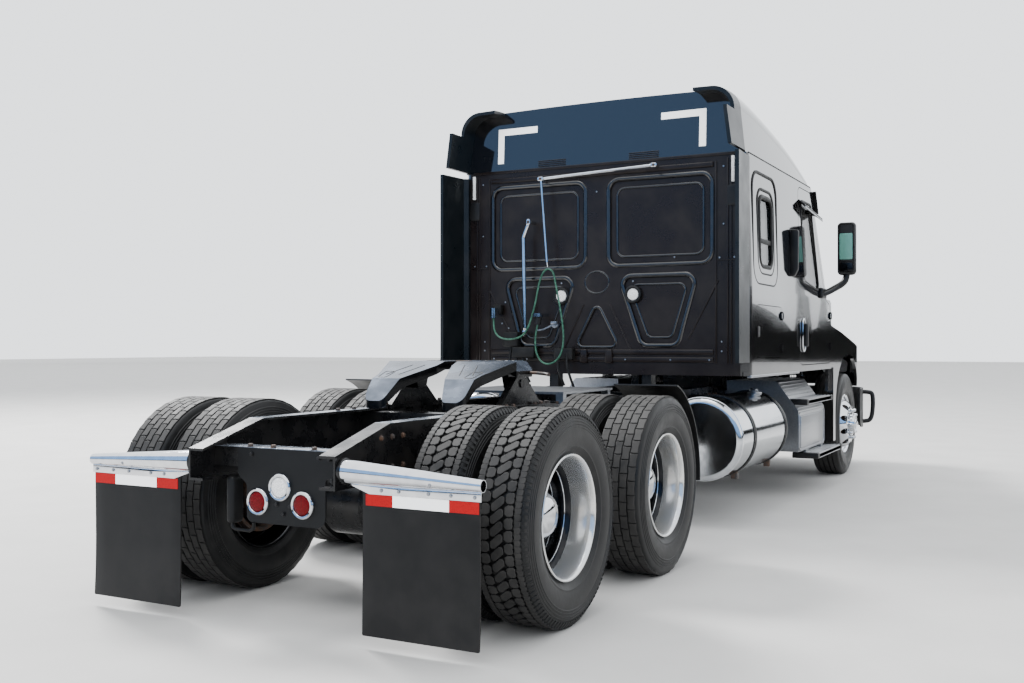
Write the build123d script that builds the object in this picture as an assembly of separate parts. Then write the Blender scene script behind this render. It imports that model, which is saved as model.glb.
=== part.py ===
# A three-axle semi truck tractor unit with a mid-height sleeper cab.
# Lengths are in millimetres. X runs forward, Y to the truck's left and Z up.
# The origin is on the ground, at the middle of the truck's length.
from build123d import *
import math
import os

os.makedirs("parts", exist_ok=True)

# Driving dimensions, whole vehicle
front_end_x = 4400
rear_end_x = -4400
steer_axle_x = 3130
rear_axle_x = -3620
tandem_spacing = 1325
front_drive_x = rear_axle_x + tandem_spacing
panel_gap = 5

# Tyres and wheels
tyre_r = 512
tyre_half_w = 142
axle_z = tyre_r
bead_r = 286
flange_r = 298
flange_u = 117
disc_mount_u = 172
disc_thick = 22
hand_hole_r = 30
hand_hole_ring_r = 207
hub_holes = 10
steer_tyre_y = 1050
dual_mount_y = 911
drum_r = 206
drum_wall = 16

# Frame rails
rail_outer_y = 430
rail_web = 10
rail_flange = 88
rail_flange_thick = 12
rail_top_z = 948
rail_depth = 270
rail_front_x = 4180
rail_taper_x = rear_end_x + 420
rail_tail_drop = 118
rail_tail_depth = 152
rail_inner_y = rail_outer_y - rail_web
rail_bottom_z = rail_top_z - rail_depth

# Cab
wall = 45
door_gap = 7
seat_gap = 0.3
back_wall_x = -540
firewall_x = 2290
floor_bottom_z = 1090
floor_top_z = 1140
belt_z = 1740
seam_z = 2715
cab_half_w = 1200
tumble = 25
pillar_lean = 555 / 960
screen_corner_x = 2060
screen_centre_x = 2270
cab_corner_r = 60
roof_side_z = 2600
roof_side_y = cab_half_w - 22
roof_back_lean = 35
screen_low_z = 2400
side_inner_y = cab_half_w - wall - tumble - 2
glass_inset = 12
glass_thick = 8

# Cab openings, side view
door_rear_x = 1020
door_front_x = 2240
door_bottom_z = 1148
door_top_z = 2660
locker_x = (-360, 380)
locker_z = (1220, 1612)

# Hood and bumper
hood_rear_x = 2300
hood_front_x = 4290
hood_wall = 30
hood_hinge_x = 4215
hood_hinge_z = 880
arch_r = 640
arch_lift = 60
bumper_top_z = 850
bumper_bottom_z = 430
bumper_wall = 14
bumper_end_x = 3700
bumper_half_w = 1216

# Fuel tanks and steps
tank_r = 300
tank_y = 900
tank_z = 640
tank_rear_x = -765
tank_front_x = 580
strap_places = (-400, 520)
step_box_x = (1160, 2190)

# Fifth wheel
kingpin_x = -2560
kingpin_bore_r = 25.6
plate_top_z = 1220
plate_thick = 50
plate_under_z = plate_top_z - plate_thick
plate_half_w = 440
pivot_z = plate_top_z - 130
pivot_r = 24
# Where the plate's top starts to slope, bends down to the ramps, and ends: X behind the kingpin, and Z
slope_x = kingpin_x - 150
knee = (kingpin_x - 470, plate_top_z - 95)
tip = (kingpin_x - 585, plate_top_z - 220)

# Cutting forms run past the body to these
far_y = 1300
far_x = 2500
far_z = 3400


def block(x0, x1, y0, y1, z0, z1):
    """A box between two corners."""
    return Pos((x0 + x1) / 2, (y0 + y1) / 2, (z0 + z1) / 2) * Box(x1 - x0, y1 - y0, z1 - z0)


def outline(points, radii=None):
    """A closed polygon face, with chosen corners rounded: radii maps a point's index to its radius."""
    face = make_face(Polyline(*points, close=True))
    for index, radius in (radii or {}).items():
        px, py = points[index]
        near = face.vertices().sort_by_distance((px, py, 0))[0]
        face = fillet(near, radius)
    return face


def side_prism(points, y0, y1, radii=None):
    """A side-view outline of X and Z points, drawn out from y0 to y1."""
    low, high = min(y0, y1), max(y0, y1)
    return Plane((0, high, 0), x_dir=(1, 0, 0), z_dir=(0, -1, 0)) * extrude(outline(points, radii), high - low)


def front_prism(points, x0, x1, radii=None):
    """A front-view outline of Y and Z points, drawn out from x0 to x1."""
    return Plane((x0, 0, 0), x_dir=(0, 1, 0), z_dir=(1, 0, 0)) * extrude(outline(points, radii), x1 - x0)


def plan_prism(points, z0, z1, radii=None):
    """A plan outline of X and Y points, drawn up from z0 to z1."""
    return Pos(0, 0, z0) * extrude(outline(points, radii), z1 - z0)


def rod(start, end, radius):
    """A round bar between two points."""
    a, b = Vector(*start), Vector(*end)
    plane = Plane(a, z_dir=(b - a))
    return plane * extrude(Circle(radius), (b - a).length)


def tapered_bar(start, end, start_r, end_r):
    """A round bar between two points that narrows along its length."""
    a, b = Vector(*start), Vector(*end)
    length = (b - a).length
    return Plane(a, z_dir=(b - a)) * Pos(0, 0, length / 2) * Cone(start_r, end_r, length)


def bent_tube(points, bend_r, radius):
    """A round bar along straight runs joined by tangent arcs."""
    path = FilletPolyline(*points, radius=bend_r)
    start = Plane(path @ 0, z_dir=path % 0)
    return sweep(start * Circle(radius), path=path)


def turned(points, x, z, side=1):
    """A ring about a line along Y through x and z. Points are radius and distance along Y; side -1 mirrors it."""
    face = make_face(Polyline(*[(r, side * u) for r, u in points], close=True))
    return Pos(x, 0, z) * revolve(face, Axis.Y)


def mirrored(shape):
    """The same shape on the other side of the truck."""
    return mirror(shape, Plane.XZ)


def solids_of(*shapes):
    """All the solids of some shapes, as one flat list."""
    found = []
    for shape in shapes:
        found += list(shape.solids()) if hasattr(shape, "solids") else [shape]
    return found


def save(name, *shapes):
    """Writes one node. Its solids stay separate."""
    parts = solids_of(*shapes)
    node = Compound(children=parts) if len(parts) > 1 else parts[0]
    export_step(node, f"parts/{name}.step")


# Frame: two channel rails, tapered at the tail, and the members between them
def frame_rail():
    profile = [
        (rear_end_x, rail_top_z - rail_tail_drop),
        (rear_end_x, rail_top_z - rail_tail_drop - rail_tail_depth),
        (rail_taper_x, rail_bottom_z),
        (rail_front_x, rail_bottom_z),
        (rail_front_x, rail_top_z),
        (rail_taper_x, rail_top_z),
    ]
    t = rail_flange_thick
    hollow = [
        (rear_end_x - 50, rail_top_z - rail_tail_drop - t),
        (rear_end_x - 50, rail_top_z - rail_tail_drop - rail_tail_depth + t),
        (rear_end_x, rail_top_z - rail_tail_drop - rail_tail_depth + t),
        (rail_taper_x, rail_bottom_z + t),
        (rail_front_x + 50, rail_bottom_z + t),
        (rail_front_x + 50, rail_top_z - t),
        (rail_taper_x, rail_top_z - t),
        (rear_end_x, rail_top_z - rail_tail_drop - t),
    ]
    solid = side_prism(profile, rail_outer_y - rail_flange, rail_outer_y)
    return solid - side_prism(hollow, rail_outer_y - rail_flange - 20, rail_inner_y)


rail = frame_rail()

# Cross members: x, half length along X, bottom Z and top Z of each
cross_table = [
    ("front", 4120, 50, rail_bottom_z + 12, rail_top_z - 12),
    ("under gearbox", 1750, 60, 698, 764),
    ("mid", 250, 60, rail_bottom_z + 30, rail_top_z - 30),
    ("ahead of tandem", -1500, 60, rail_bottom_z + 20, rail_top_z - 20),
    ("between axles", front_drive_x - 660, 70, rail_bottom_z + 20, rail_top_z - 20),
    ("behind tandem", rear_end_x + 205, 40, 735, 830),
]
# Rear lamp plate, hung from the last cross member
lamp_plate_x = rear_end_x + 150
lamp_plate_thick = 8
lamp_r = 56
lamp_places = [(0, 652), (133, 577), (-133, 577)]
plate = front_prism(
    [(-405, 829), (262, 829), (262, 700), (205, 655), (205, 476), (-262, 476), (-262, 705), (-405, 705)],
    lamp_plate_x,
    lamp_plate_x + lamp_plate_thick,
    {2: 40, 3: 30, 4: 35, 5: 55, 6: 15, 7: 12},
)
stay_x0 = lamp_plate_x + lamp_plate_thick
for y in (-150, 150):
    plate += block(stay_x0, rear_end_x + 165, y - 40, y + 40, 725, 800)
save("lamp_plate", plate)
lamps = []
for y, z in lamp_places:
    lamps.append(rod((lamp_plate_x, y, z), (lamp_plate_x - 22, y, z), lamp_r))


# Cab: an outer form and an inner one make the walls
def wall_prism(inset):
    """The cab below the roof seam, as a closed form. An inner one runs out through the floor."""
    xb = back_wall_x + inset
    xf = firewall_x - inset
    zb = floor_bottom_z - (50 if inset else 0)
    low = side_prism(
        [(xb, zb), (xf, zb), (xf, belt_z - 30 - inset), (xf - 60, belt_z - inset), (xb, belt_z - inset)], -far_y, far_y
    )
    z0 = belt_z - inset - 20
    high = leaning_front(inset, z0) + block(xb, door_rear_x, -far_y, far_y, z0, far_z)
    w = cab_half_w - inset
    sides = front_prism(
        [(-w, zb), (w, zb), (w, belt_z), (w - tumble, seam_z), (w - tumble, far_z), (-w + tumble, far_z),
         (-w + tumble, seam_z), (-w, belt_z)],
        xb, firewall_x,
    )
    return (low + high) & sides


def leaning_front(inset, z0):
    """A form with the windscreen's curved, leaning front, from z0 up."""
    shift = pillar_lean * (belt_z - z0) - inset * math.hypot(1, pillar_lean)
    corner, centre = screen_corner_x + shift, screen_centre_x + shift
    back = back_wall_x + inset
    plan = make_face(
        Polyline((corner, -far_y), (back, -far_y), (back, far_y), (corner, far_y))
        + ThreePointArc((corner, far_y), (centre, 0), (corner, -far_y))
    )
    return Pos(0, 0, z0) * extrude(plan, (far_z - floor_bottom_z) * math.hypot(1, pillar_lean), dir=(-pillar_lean, 0, 1))


# Roof sections: x, top Z, half width at the shoulder and shoulder radius
roof_table = [
    (-900, 3150, 1128, 170),
    (-300, 3195, 1128, 170),
    (500, 3105, 1132, 165),
    (1100, 2985, 1140, 150),
    (1560, 2840, 1150, 120),
    (2000, 2690, 1158, 60),
]


def cap_form(inset):
    """The roof cap as a closed form of rounded sections, open-ended along X."""
    sections = []
    for x, top, shoulder_y, radius in roof_table:
        base_y = roof_side_y - inset
        side_y = shoulder_y - inset
        r = radius - inset / 2
        z_base = roof_side_z - inset
        z_top = top - inset
        z_turn = z_top - r - 12
        cut = r * (1 - math.sqrt(0.5))
        edges = [
            Polyline((-base_y, z_base), (base_y, z_base), (side_y, z_turn)),
            ThreePointArc((side_y, z_turn), (side_y - cut, z_turn + r - cut), (side_y - r, z_turn + r)),
            ThreePointArc((side_y - r, z_turn + r), (0, z_top), (r - side_y, z_turn + r)),
            ThreePointArc((r - side_y, z_turn + r), (cut - side_y, z_turn + r - cut), (-side_y, z_turn)),
            Line((-side_y, z_turn), (-base_y, z_base)),
        ]
        sections.append(Plane((x, 0, 0), x_dir=(0, 1, 0), z_dir=(1, 0, 0)) * make_face(edges))
    return loft(sections)


def roof_form(inset):
    """The roof cap, cut by the leaning front and by its back."""
    xb = back_wall_x + inset
    back = side_prism(
        [(xb, screen_low_z), (xb, seam_z), (xb + roof_back_lean, far_z), (far_x, far_z), (far_x, screen_low_z)],
        -far_y, far_y,
    )
    return cap_form(inset) & back & leaning_front(inset, screen_low_z)


body_shell = wall_prism(0) - wall_prism(wall)
rear_corners = [
    edge for edge in body_shell.edges()
    if abs(edge.center().X - back_wall_x) < 1 and abs(edge.center().Y) > cab_half_w - 40 and edge.length > 300
]
body_shell = fillet(rear_corners, cab_corner_r)
body_shell = body_shell & block(-far_x, far_x, -far_y, far_y, 0, seam_z - seat_gap)
roof_shell = (roof_form(0) - roof_form(wall)) & block(-far_x, far_x, -far_y, far_y, seam_z, far_z)


def pillar_x(z, back=0):
    """X of the windscreen's corner line at a height, set back along X."""
    return screen_corner_x - pillar_lean * (z - belt_z) - back


# Side openings as X and Z outlines
door_outline = [
    (door_rear_x, door_bottom_z),
    (door_front_x, door_bottom_z),
    (door_front_x, belt_z - 60),
    (pillar_x(belt_z, 50), belt_z),
    (pillar_x(door_top_z, 50), door_top_z),
    (door_rear_x, door_top_z),
]
door_radii = {0: 70, 1: 60, 2: 90, 4: 60, 5: 80}
door_glass_outline = [(1200, 1868), (1790, 1800), (pillar_x(2530, 120), 2530), (1092, 2560)]
door_glass_radii = {0: 60, 1: 50, 2: 60, 3: 60}
bunk_glass_outline = [(-245, 1905), (112, 1905), (112, 2430), (-245, 2430)]
bunk_glass_radii = {0: 80, 1: 80, 2: 80, 3: 80}
locker_outline = [
    (locker_x[0], locker_z[0]), (locker_x[1], locker_z[0]), (locker_x[1], locker_z[1]), (locker_x[0], locker_z[1])
]
locker_radii = {0: 50, 1: 50, 2: 50, 3: 50}


def side_cut(points, radii, gap=0):
    """A cutter through the left wall, an outline grown by a gap."""
    face = outline(points, radii)
    if gap:
        face = offset(face, gap)
    return Plane((0, far_y, 0), x_dir=(1, 0, 0), z_dir=(0, -1, 0)) * extrude(face, far_y / 2)


door_cut = side_cut(door_outline, door_radii, door_gap)
door_form = side_cut(door_outline, door_radii)
door_glass_cut = side_cut(door_glass_outline, door_glass_radii)
bunk_glass_cut = side_cut(bunk_glass_outline, bunk_glass_radii)
locker_cut = side_cut(locker_outline, locker_radii, panel_gap)
locker_form = side_cut(locker_outline, locker_radii)

glass_shell = wall_prism(glass_inset) - wall_prism(glass_inset + glass_thick)
side_zone = block(-far_x, far_x, side_inner_y, far_y, 0, far_z)
middle_y = side_inner_y - seat_gap
back_zone = block(-far_x, back_wall_x + 60, -middle_y, middle_y, 0, far_z)
front_zone = block(back_wall_x + 100, far_x, -middle_y, middle_y, 0, far_z)

# Hinge pins stand just outside the panels: X of each pin, behind its panel's front edge, and the Z of each hinge
pin_out = 8
pin_y = cab_half_w + pin_out
door_pin_x = door_front_x - pin_out
locker_pin_x = locker_x[1] - pin_out
hinge_pin_r = 6
hinge_half_z = 35
lug_z = 10
barrel_half_z = 20
leaf_sink = 5
hinge_places = [
    ("door", door_pin_x, 1300),
    ("door", door_pin_x, 1590),
    ("locker", locker_pin_x, 1290),
    ("locker", locker_pin_x, 1545),
]


def hinge_fixed(x, z):
    """A hinge's pin between two lugs on the cab side."""
    low, high = z - hinge_half_z, z + hinge_half_z
    pin = rod((x, pin_y, low), (x, pin_y, high), hinge_pin_r)
    for z0 in (low, high - lug_z):
        pin += block(x, x + 30, pin_y - hinge_pin_r, pin_y + hinge_pin_r, z0, z0 + lug_z)
    return pin + block(x + 18, x + 30, cab_half_w - leaf_sink, pin_y + hinge_pin_r, low, high)


def hinge_moving(x, z):
    """A hinge's barrel on its panel."""
    low, high = z - barrel_half_z, z + barrel_half_z
    barrel = rod((x, pin_y, low), (x, pin_y, high), hinge_pin_r + 5)
    barrel += block(x - 40, x, cab_half_w - leaf_sink, pin_y + hinge_pin_r, low, high)
    return barrel - rod((x, pin_y, low - lug_z), (x, pin_y, high + lug_z), hinge_pin_r + seat_gap)


left_side = (body_shell & side_zone) - door_cut - locker_cut - bunk_glass_cut
left_door = (body_shell & side_zone & door_form) - door_glass_cut
left_locker = body_shell & side_zone & locker_form
for panel, x, z in hinge_places:
    left_side += hinge_fixed(x, z)
    if panel == "door":
        left_door += hinge_moving(x, z)
    else:
        left_locker += hinge_moving(x, z)
save("cab_side_left", left_side)
save("cab_side_right", mirrored(left_side))
save("door_left", left_door)
save("door_right", mirrored(left_door))
save("locker_door_left", left_locker)
save("locker_door_right", mirrored(left_locker))
save("roof", roof_shell)

door_glass = glass_shell & side_zone & side_cut(door_glass_outline, door_glass_radii, -seat_gap)
bunk_glass = glass_shell & side_zone & side_cut(bunk_glass_outline, bunk_glass_radii, -seat_gap)
save("door_glass_left", door_glass)
save("door_glass_right", mirrored(door_glass))

# Front of the cab: firewall, cowl and screen frame in one, with the screen in its opening
screen_outline = [(-1068, 1795), (1068, 1795), (1030, 2640), (-1030, 2640)]
screen_radii = {0: 90, 1: 90, 2: 90, 3: 90}


def screen_cut(gap=0):
    """A cutter through the windscreen's opening, shrunk by a gap."""
    face = outline(screen_outline, screen_radii)
    if gap:
        face = offset(face, -gap)
    return Plane((door_rear_x, 0, 0), x_dir=(0, 1, 0), z_dir=(1, 0, 0)) * extrude(face, far_x - door_rear_x)


save("cab_front", (body_shell & front_zone) - screen_cut())
save("cab_glass", glass_shell & front_zone & screen_cut(seat_gap), bunk_glass, mirrored(bunk_glass))

# Back wall with its pressed panels. Each pressing: Y and Z corners of the left-hand one
press_depth = 14
press_radius = 70
back_wall = body_shell & back_zone
upper_press = [(110, 1935), (905, 1935), (905, 2570), (110, 2570)]
lower_press = [(192, 1830), (795, 1830), (640, 1325), (380, 1325)]
middle_press = [(0, 1655), (-185, 1300), (185, 1300)]


def pressing(points, radius):
    """A shallow recess in the back wall's outer face."""
    corners = {index: radius for index in range(len(points))}
    return front_prism(points, back_wall_x - 1, back_wall_x + press_depth, corners)


for side in (1, -1):
    for points, radius in ((upper_press, press_radius), (lower_press, 60)):
        back_wall -= pressing([(side * y, z) for y, z in points], radius)
back_wall -= pressing(middle_press, 40)
save("back_wall", back_wall)

floor = block(
    back_wall_x + wall + seat_gap, firewall_x - wall - seat_gap,
    -(cab_half_w - wall - seat_gap), cab_half_w - wall - seat_gap,
    floor_bottom_z, floor_top_z,
)
save("cab_floor", floor)

# Side extenders behind the cab: a lower panel, and a roof piece that carries the cap's corner on
extender_rear_x = -872
extender_plan = [
    (back_wall_x - seat_gap, 1128), (back_wall_x - seat_gap, 1196), (extender_rear_x, 1214),
    (extender_rear_x - 2, 1186), (back_wall_x - 50, 1162), (back_wall_x - 30, 1128),
]
extender = plan_prism(extender_plan, 1190, 2675)
cap_skin = cap_form(0) - cap_form(25)
cap_extender = cap_skin & block(extender_rear_x, back_wall_x + 80, 1080, 1300, seam_z + 8, 2995)
cap_extender += cap_skin & block(-690, back_wall_x + 80, 820, 1300, 2990, 3300)
cap_extender -= roof_form(-seat_gap)
save("side_extenders", extender, mirrored(extender), cap_extender, mirrored(cap_extender))

# Inside the cab: bunk, two seats, dashboard with its wheel
bunk_front_x = 330
bunk_half_w = 1090
bunk_top_z = 1480
mattress_top_z = 1620
bunk = block(back_wall_x + wall + 25, bunk_front_x, -bunk_half_w, bunk_half_w, floor_top_z + seat_gap, bunk_top_z)
mattress = block(
    back_wall_x + wall + 35, bunk_front_x - 10, 10 - bunk_half_w, bunk_half_w - 10, bunk_top_z + seat_gap, mattress_top_z
)
save("bunk", bunk, fillet(mattress.edges(), 40))

seat_y = 560
seat_places = (seat_y, -seat_y)
seat_half_w = 260
seat_base_z = 1480
seat_outline = [(870, seat_base_z), (1420, seat_base_z), (1450, 1620), (970, 1600), (860, 2330), (740, 2330)]
seats = []
seat_posts = []
for y in seat_places:
    cushion = side_prism(seat_outline, y - seat_half_w, y + seat_half_w)
    seats.append(fillet(cushion.edges().filter_by(Axis.Y), 30))
    seat_posts.append(block(940, 1360, y - 200, y + 200, floor_top_z + seat_gap, seat_base_z - seat_gap))
save("seats", *seats, *seat_posts)

dash_front_x = firewall_x - wall - seat_gap
dash = side_prism(
    [(dash_front_x, 1290), (1960, 1320), (1840, 1540), (1900, 1650), (2060, 1684), (2170, 1684), (dash_front_x, 1655)],
    -1080, 1080, {1: 40, 2: 60, 3: 60},
)
steering_r = 225
steering_plane = Plane((1640, seat_y, 1650), z_dir=(-1, 0, 0.42))
column = rod((1900, seat_y, 1545), (1646, seat_y, 1648), 28)
steering_wheel = steering_plane * Torus(steering_r, 16)
spokes = steering_plane * (Box(60, 2 * steering_r - 14, 18) + Cylinder(50, 40))
save("dashboard", dash + column + steering_wheel + spokes)

# Hood: a rounded shell of lofted sections with the two fenders blended on, over open wheel arches
# Sections: x, half width, top Z and shoulder radius
hood_table = [
    (hood_rear_x, 1168, 1728, 190),
    (2900, 1110, 1660, 230),
    (3600, 980, 1560, 240),
    (4060, 850, 1450, 220),
    (hood_front_x, 740, 1300, 170),
]
hood_base_z = 875


def hood_form(inset):
    """The bonnet as a closed form."""
    sections = []
    last = len(hood_table) - 1
    for index, (x, half, top, radius) in enumerate(hood_table):
        w = half - inset
        z_top = top - inset
        r = radius - inset / 2
        z_base = hood_base_z - (60 if inset else 0)
        z_turn = z_top - r - 30
        cut = r * (1 - math.sqrt(0.5))
        x_at = x - inset if index == last else x - (40 if inset and index == 0 else 0)
        edges = [
            Polyline((-w, z_base), (w, z_base), (w, z_turn)),
            ThreePointArc((w, z_turn), (w - cut, z_turn + r - cut), (w - r, z_turn + r)),
            ThreePointArc((w - r, z_turn + r), (0, z_top), (r - w, z_turn + r)),
            ThreePointArc((r - w, z_turn + r), (cut - w, z_turn + r - cut), (-w, z_turn)),
            Line((-w, z_turn), (-w, z_base)),
        ]
        sections.append(Plane((x_at, 0, 0), x_dir=(0, 1, 0), z_dir=(1, 0, 0)) * make_face(edges))
    return loft(sections)


fender_outline = [
    (hood_rear_x, 1100), (hood_rear_x, 1500), (2800, 1440), (3500, 1330), (4060, 1215), (hood_front_x, 1020),
    (hood_front_x, hood_base_z), (2600, hood_base_z), (2520, 392), (2400, 392), (2400, 1100),
]
fender_radii = {2: 400, 3: 500, 4: 120, 5: 60}
fender_plan = [(hood_rear_x, 0), (hood_rear_x, 1198), (3650, 1198), (4110, 1080), (hood_front_x, 850), (hood_front_x, 0)]
fender_plan_radii = {2: 500, 3: 160, 4: 60}
fender_inner_y = 640


def fender_form(inset):
    """The left fender as a closed form: its side outline cut by its plan outline."""
    grow = 40 if inset else 0
    side_face = outline(fender_outline, fender_radii)
    plan_face = outline(fender_plan, fender_plan_radii)
    if inset:
        side_face = offset(side_face, -inset)
        plan_face = offset(plan_face, -inset)
    body = Plane((0, far_y, 0), x_dir=(1, 0, 0), z_dir=(0, -1, 0)) * extrude(side_face, far_y - fender_inner_y + grow)
    return body & extrude(plan_face, far_z)


fender_left = fender_form(0)
fender_hollow = fender_form(hood_wall)
outer = hood_form(0) + fender_left + mirrored(fender_left)
inner = hood_form(hood_wall) + fender_hollow + mirrored(fender_hollow)
inner += block(hood_rear_x - 60, hood_front_x - hood_wall, -780, 780, 0, hood_base_z + 80)
inner += block(hood_rear_x - 60, hood_rear_x + 400, -1100, 1100, hood_base_z, 1430)
hood = outer - inner
arch_top_z = axle_z + arch_r + arch_lift
arch_corner_r = arch_r - 60
arch = side_prism(
    [(steer_axle_x - arch_r, 0), (steer_axle_x + arch_r, 0), (steer_axle_x + arch_r, axle_z),
     (steer_axle_x + arch_r, arch_top_z), (steer_axle_x - arch_r, arch_top_z)],
    -far_y, far_y, {3: arch_corner_r, 4: arch_corner_r},
)
hood -= arch
hood -= block(hood_rear_x - 100, hood_rear_x, -far_y, far_y, 0, far_z)

# Front bumper: a wrapped shell, open behind and above, on two brackets
bumper_plan = [
    (bumper_end_x, 0), (bumper_end_x, bumper_half_w), (3960, bumper_half_w), (4290, 1050), (front_end_x, 620),
    (front_end_x, 0),
]
bumper_plan_radii = {2: 500, 3: 260, 4: 400}
half_face = outline(bumper_plan, bumper_plan_radii)
bumper_face = half_face + mirror(half_face, Plane.XZ)
inner_face = offset(bumper_face, -bumper_wall)
ring = extrude(bumper_face, bumper_top_z - bumper_bottom_z)
core = Pos(0, 0, -5) * extrude(inner_face, bumper_top_z - bumper_bottom_z + 10)
bumper = Pos(0, 0, bumper_bottom_z) * (ring - core)
bumper_open_w = bumper_half_w - bumper_wall - 12
bumper -= block(bumper_end_x - 10, bumper_end_x + bumper_wall + 1, -bumper_open_w, bumper_open_w, 0, far_z)
bumper_front_x = front_end_x + 100
bumper = bumper & side_prism(
    [(bumper_end_x, bumper_bottom_z), (bumper_front_x, bumper_bottom_z), (bumper_front_x, bumper_top_z),
     (bumper_end_x, bumper_top_z)],
    -far_y, far_y, {0: 110, 3: 110},
)
bracket_y = (350, 415)
bracket_z = (684, 744)
for side in (1, -1):
    low, high = sorted((side * bracket_y[0], side * bracket_y[1]))
    bumper += block(rail_front_x + seat_gap, front_end_x - bumper_wall + 4, low, high, *bracket_z)
save("front_bumper", bumper)

# Fixed arms that carry the hood's hinge pins
hinge_arm = side_prism(
    [(4080, 800), (4180, 800), (hood_hinge_x + 22, 858), (hood_hinge_x + 22, 902), (4080, 902)],
    rail_outer_y + seat_gap, 470, {2: 18, 3: 18},
)
hood_pin_r = 12
hinge_arm += rod((hood_hinge_x, 460, hood_hinge_z), (hood_hinge_x, 500, hood_hinge_z), hood_pin_r)
save("hood_arms", hinge_arm, mirrored(hinge_arm))

# Steer axle with its springs. Each beam end carries a bored boss for the knuckle's pin
kingpin_y = 895
boss_r = 45
boss_z = (452, 572)
pin_r = 22
beam_half_x = 50
spring_y = (388, 462)
spring_seat_z = 470
beam_outline = [
    (-860, 462), (-760, 455), (-560, 400), (560, 400), (760, 455), (860, 462),
    (860, 562), (740, 556), (540, spring_seat_z), (-540, spring_seat_z), (-740, 556), (-860, 562),
]
beam = front_prism(beam_outline, steer_axle_x - beam_half_x, steer_axle_x + beam_half_x)
for side in (1, -1):
    beam += rod((steer_axle_x, side * kingpin_y, boss_z[0]), (steer_axle_x, side * kingpin_y, boss_z[1]), boss_r)
    beam -= rod((steer_axle_x, side * kingpin_y, 400), (steer_axle_x, side * kingpin_y, 650), pin_r + seat_gap)
save("steer_axle", beam)


def leaf_spring(half_length, sag, thick):
    """One curved leaf pack with its two hangers, on the left."""
    seat_z = spring_seat_z + seat_gap
    end_z = seat_z + sag
    front_x, rear_x = steer_axle_x + half_length, steer_axle_x - half_length
    low = ThreePointArc((rear_x, end_z), (steer_axle_x, seat_z), (front_x, end_z))
    high = ThreePointArc((front_x, end_z + thick), (steer_axle_x, seat_z + thick), (rear_x, end_z + thick))
    face = make_face([low, Line(low @ 1, high @ 0), high, Line(high @ 1, low @ 0)])
    leaf = Plane((0, spring_y[1], 0), x_dir=(1, 0, 0), z_dir=(0, -1, 0)) * extrude(face, spring_y[1] - spring_y[0])
    for end in (-1, 1):
        x = steer_axle_x + end * (half_length - 45)
        leaf += block(x - 40, x + 40, spring_y[0], spring_y[1], end_z + 5, rail_bottom_z - seat_gap)
    return leaf


front_spring = leaf_spring(640, 110, 42)

# Drive axles: spindle, tube and differential, as turned forms
spindle_r = 45
spindle_end_y = 905
tube_end_y = 632
tube_r = 68
differential_r = 175
nose_r = 105
diff_nose_z = axle_z + 25
drive_axles = []
for x in (rear_axle_x, front_drive_x):
    axle = turned(
        [(0, -spindle_end_y), (spindle_r, -spindle_end_y), (spindle_r, -tube_end_y), (tube_r, -tube_end_y),
         (tube_r, -260), (differential_r, -110), (differential_r, 110), (tube_r, 260), (tube_r, tube_end_y),
         (spindle_r, tube_end_y), (spindle_r, spindle_end_y), (0, spindle_end_y)],
        x, axle_z,
    )
    axle += rod((x, 0, diff_nose_z), (x + 300, 0, diff_nose_z), nose_r)
    drive_axles.append(axle)
save("drive_axles", *drive_axles)

# Rear suspension: hanger, trailing arm and air spring on each side of each drive axle
arm_y = (348, 424)
arm_z = (axle_z + tube_r + seat_gap, axle_z + 112)
hanger_z = (500, rail_bottom_z - seat_gap)
air_spring = (-285, 386)
air_spring_r = 95
rear_suspension = []
for x in (rear_axle_x, front_drive_x):
    spring_x, air_y = x + air_spring[0], air_spring[1]
    arm = block(x - 380, x + 560, *arm_y, *arm_z)
    arm += block(x + 490, x + 600, *arm_y, *hanger_z)
    arm += rod((spring_x, air_y, arm_z[1] - 2), (spring_x, air_y, hanger_z[1]), air_spring_r)
    rear_suspension += [arm, mirrored(arm)]
save("suspension", front_spring, mirrored(front_spring), *rear_suspension)

# Powertrain: engine and gearbox as plain blocks, the radiator and the two drive shafts
shaft_r = 50
engine_x = (2420, 3560)
gearbox_rear_x = 1560
engine_foot_x = ((3250, 3380), (2560, 2700))
engine = block(*engine_x, -330, 330, 720, 1330)
engine += block(gearbox_rear_x, engine_x[0], -225, 225, 770, 1060)
for side in (1, -1):
    low, high = sorted((side * 300, side * rail_outer_y))
    for foot_x in engine_foot_x:
        engine += block(*foot_x, low, high, rail_top_z + seat_gap, 1010)
radiator = block(3760, 3880, -rail_outer_y, rail_outer_y, rail_top_z + seat_gap, 1360)
main_shaft = rod((gearbox_rear_x, 0, 840), (front_drive_x + 306, 0, diff_nose_z), shaft_r)
inter_shaft = rod((front_drive_x - 170, 0, diff_nose_z), (rear_axle_x + 300, 0, diff_nose_z), shaft_r)
inter_shaft -= drive_axles[1]
save("powertrain", engine + main_shaft, radiator, inter_shaft)

# Cross members, holed for the shaft where it passes
cross_members = []
for place, x, half, z0, z1 in cross_table:
    member = block(x - half, x + half, -rail_inner_y, rail_inner_y, z0, z1)
    cross_members.append(member - rod((1700, 0, 851.5), (front_drive_x + 200, 0, 529), shaft_r + 25))
cab_mounts = []
mount_y = 390
for x in (back_wall_x + 90, 1300):
    for y in (-mount_y, mount_y):
        cab_mounts.append(block(x - 45, x + 45, y - 38, y + 38, rail_top_z + seat_gap, floor_bottom_z - seat_gap))
save("frame", rail, mirrored(rail), *cross_members, *cab_mounts)

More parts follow.
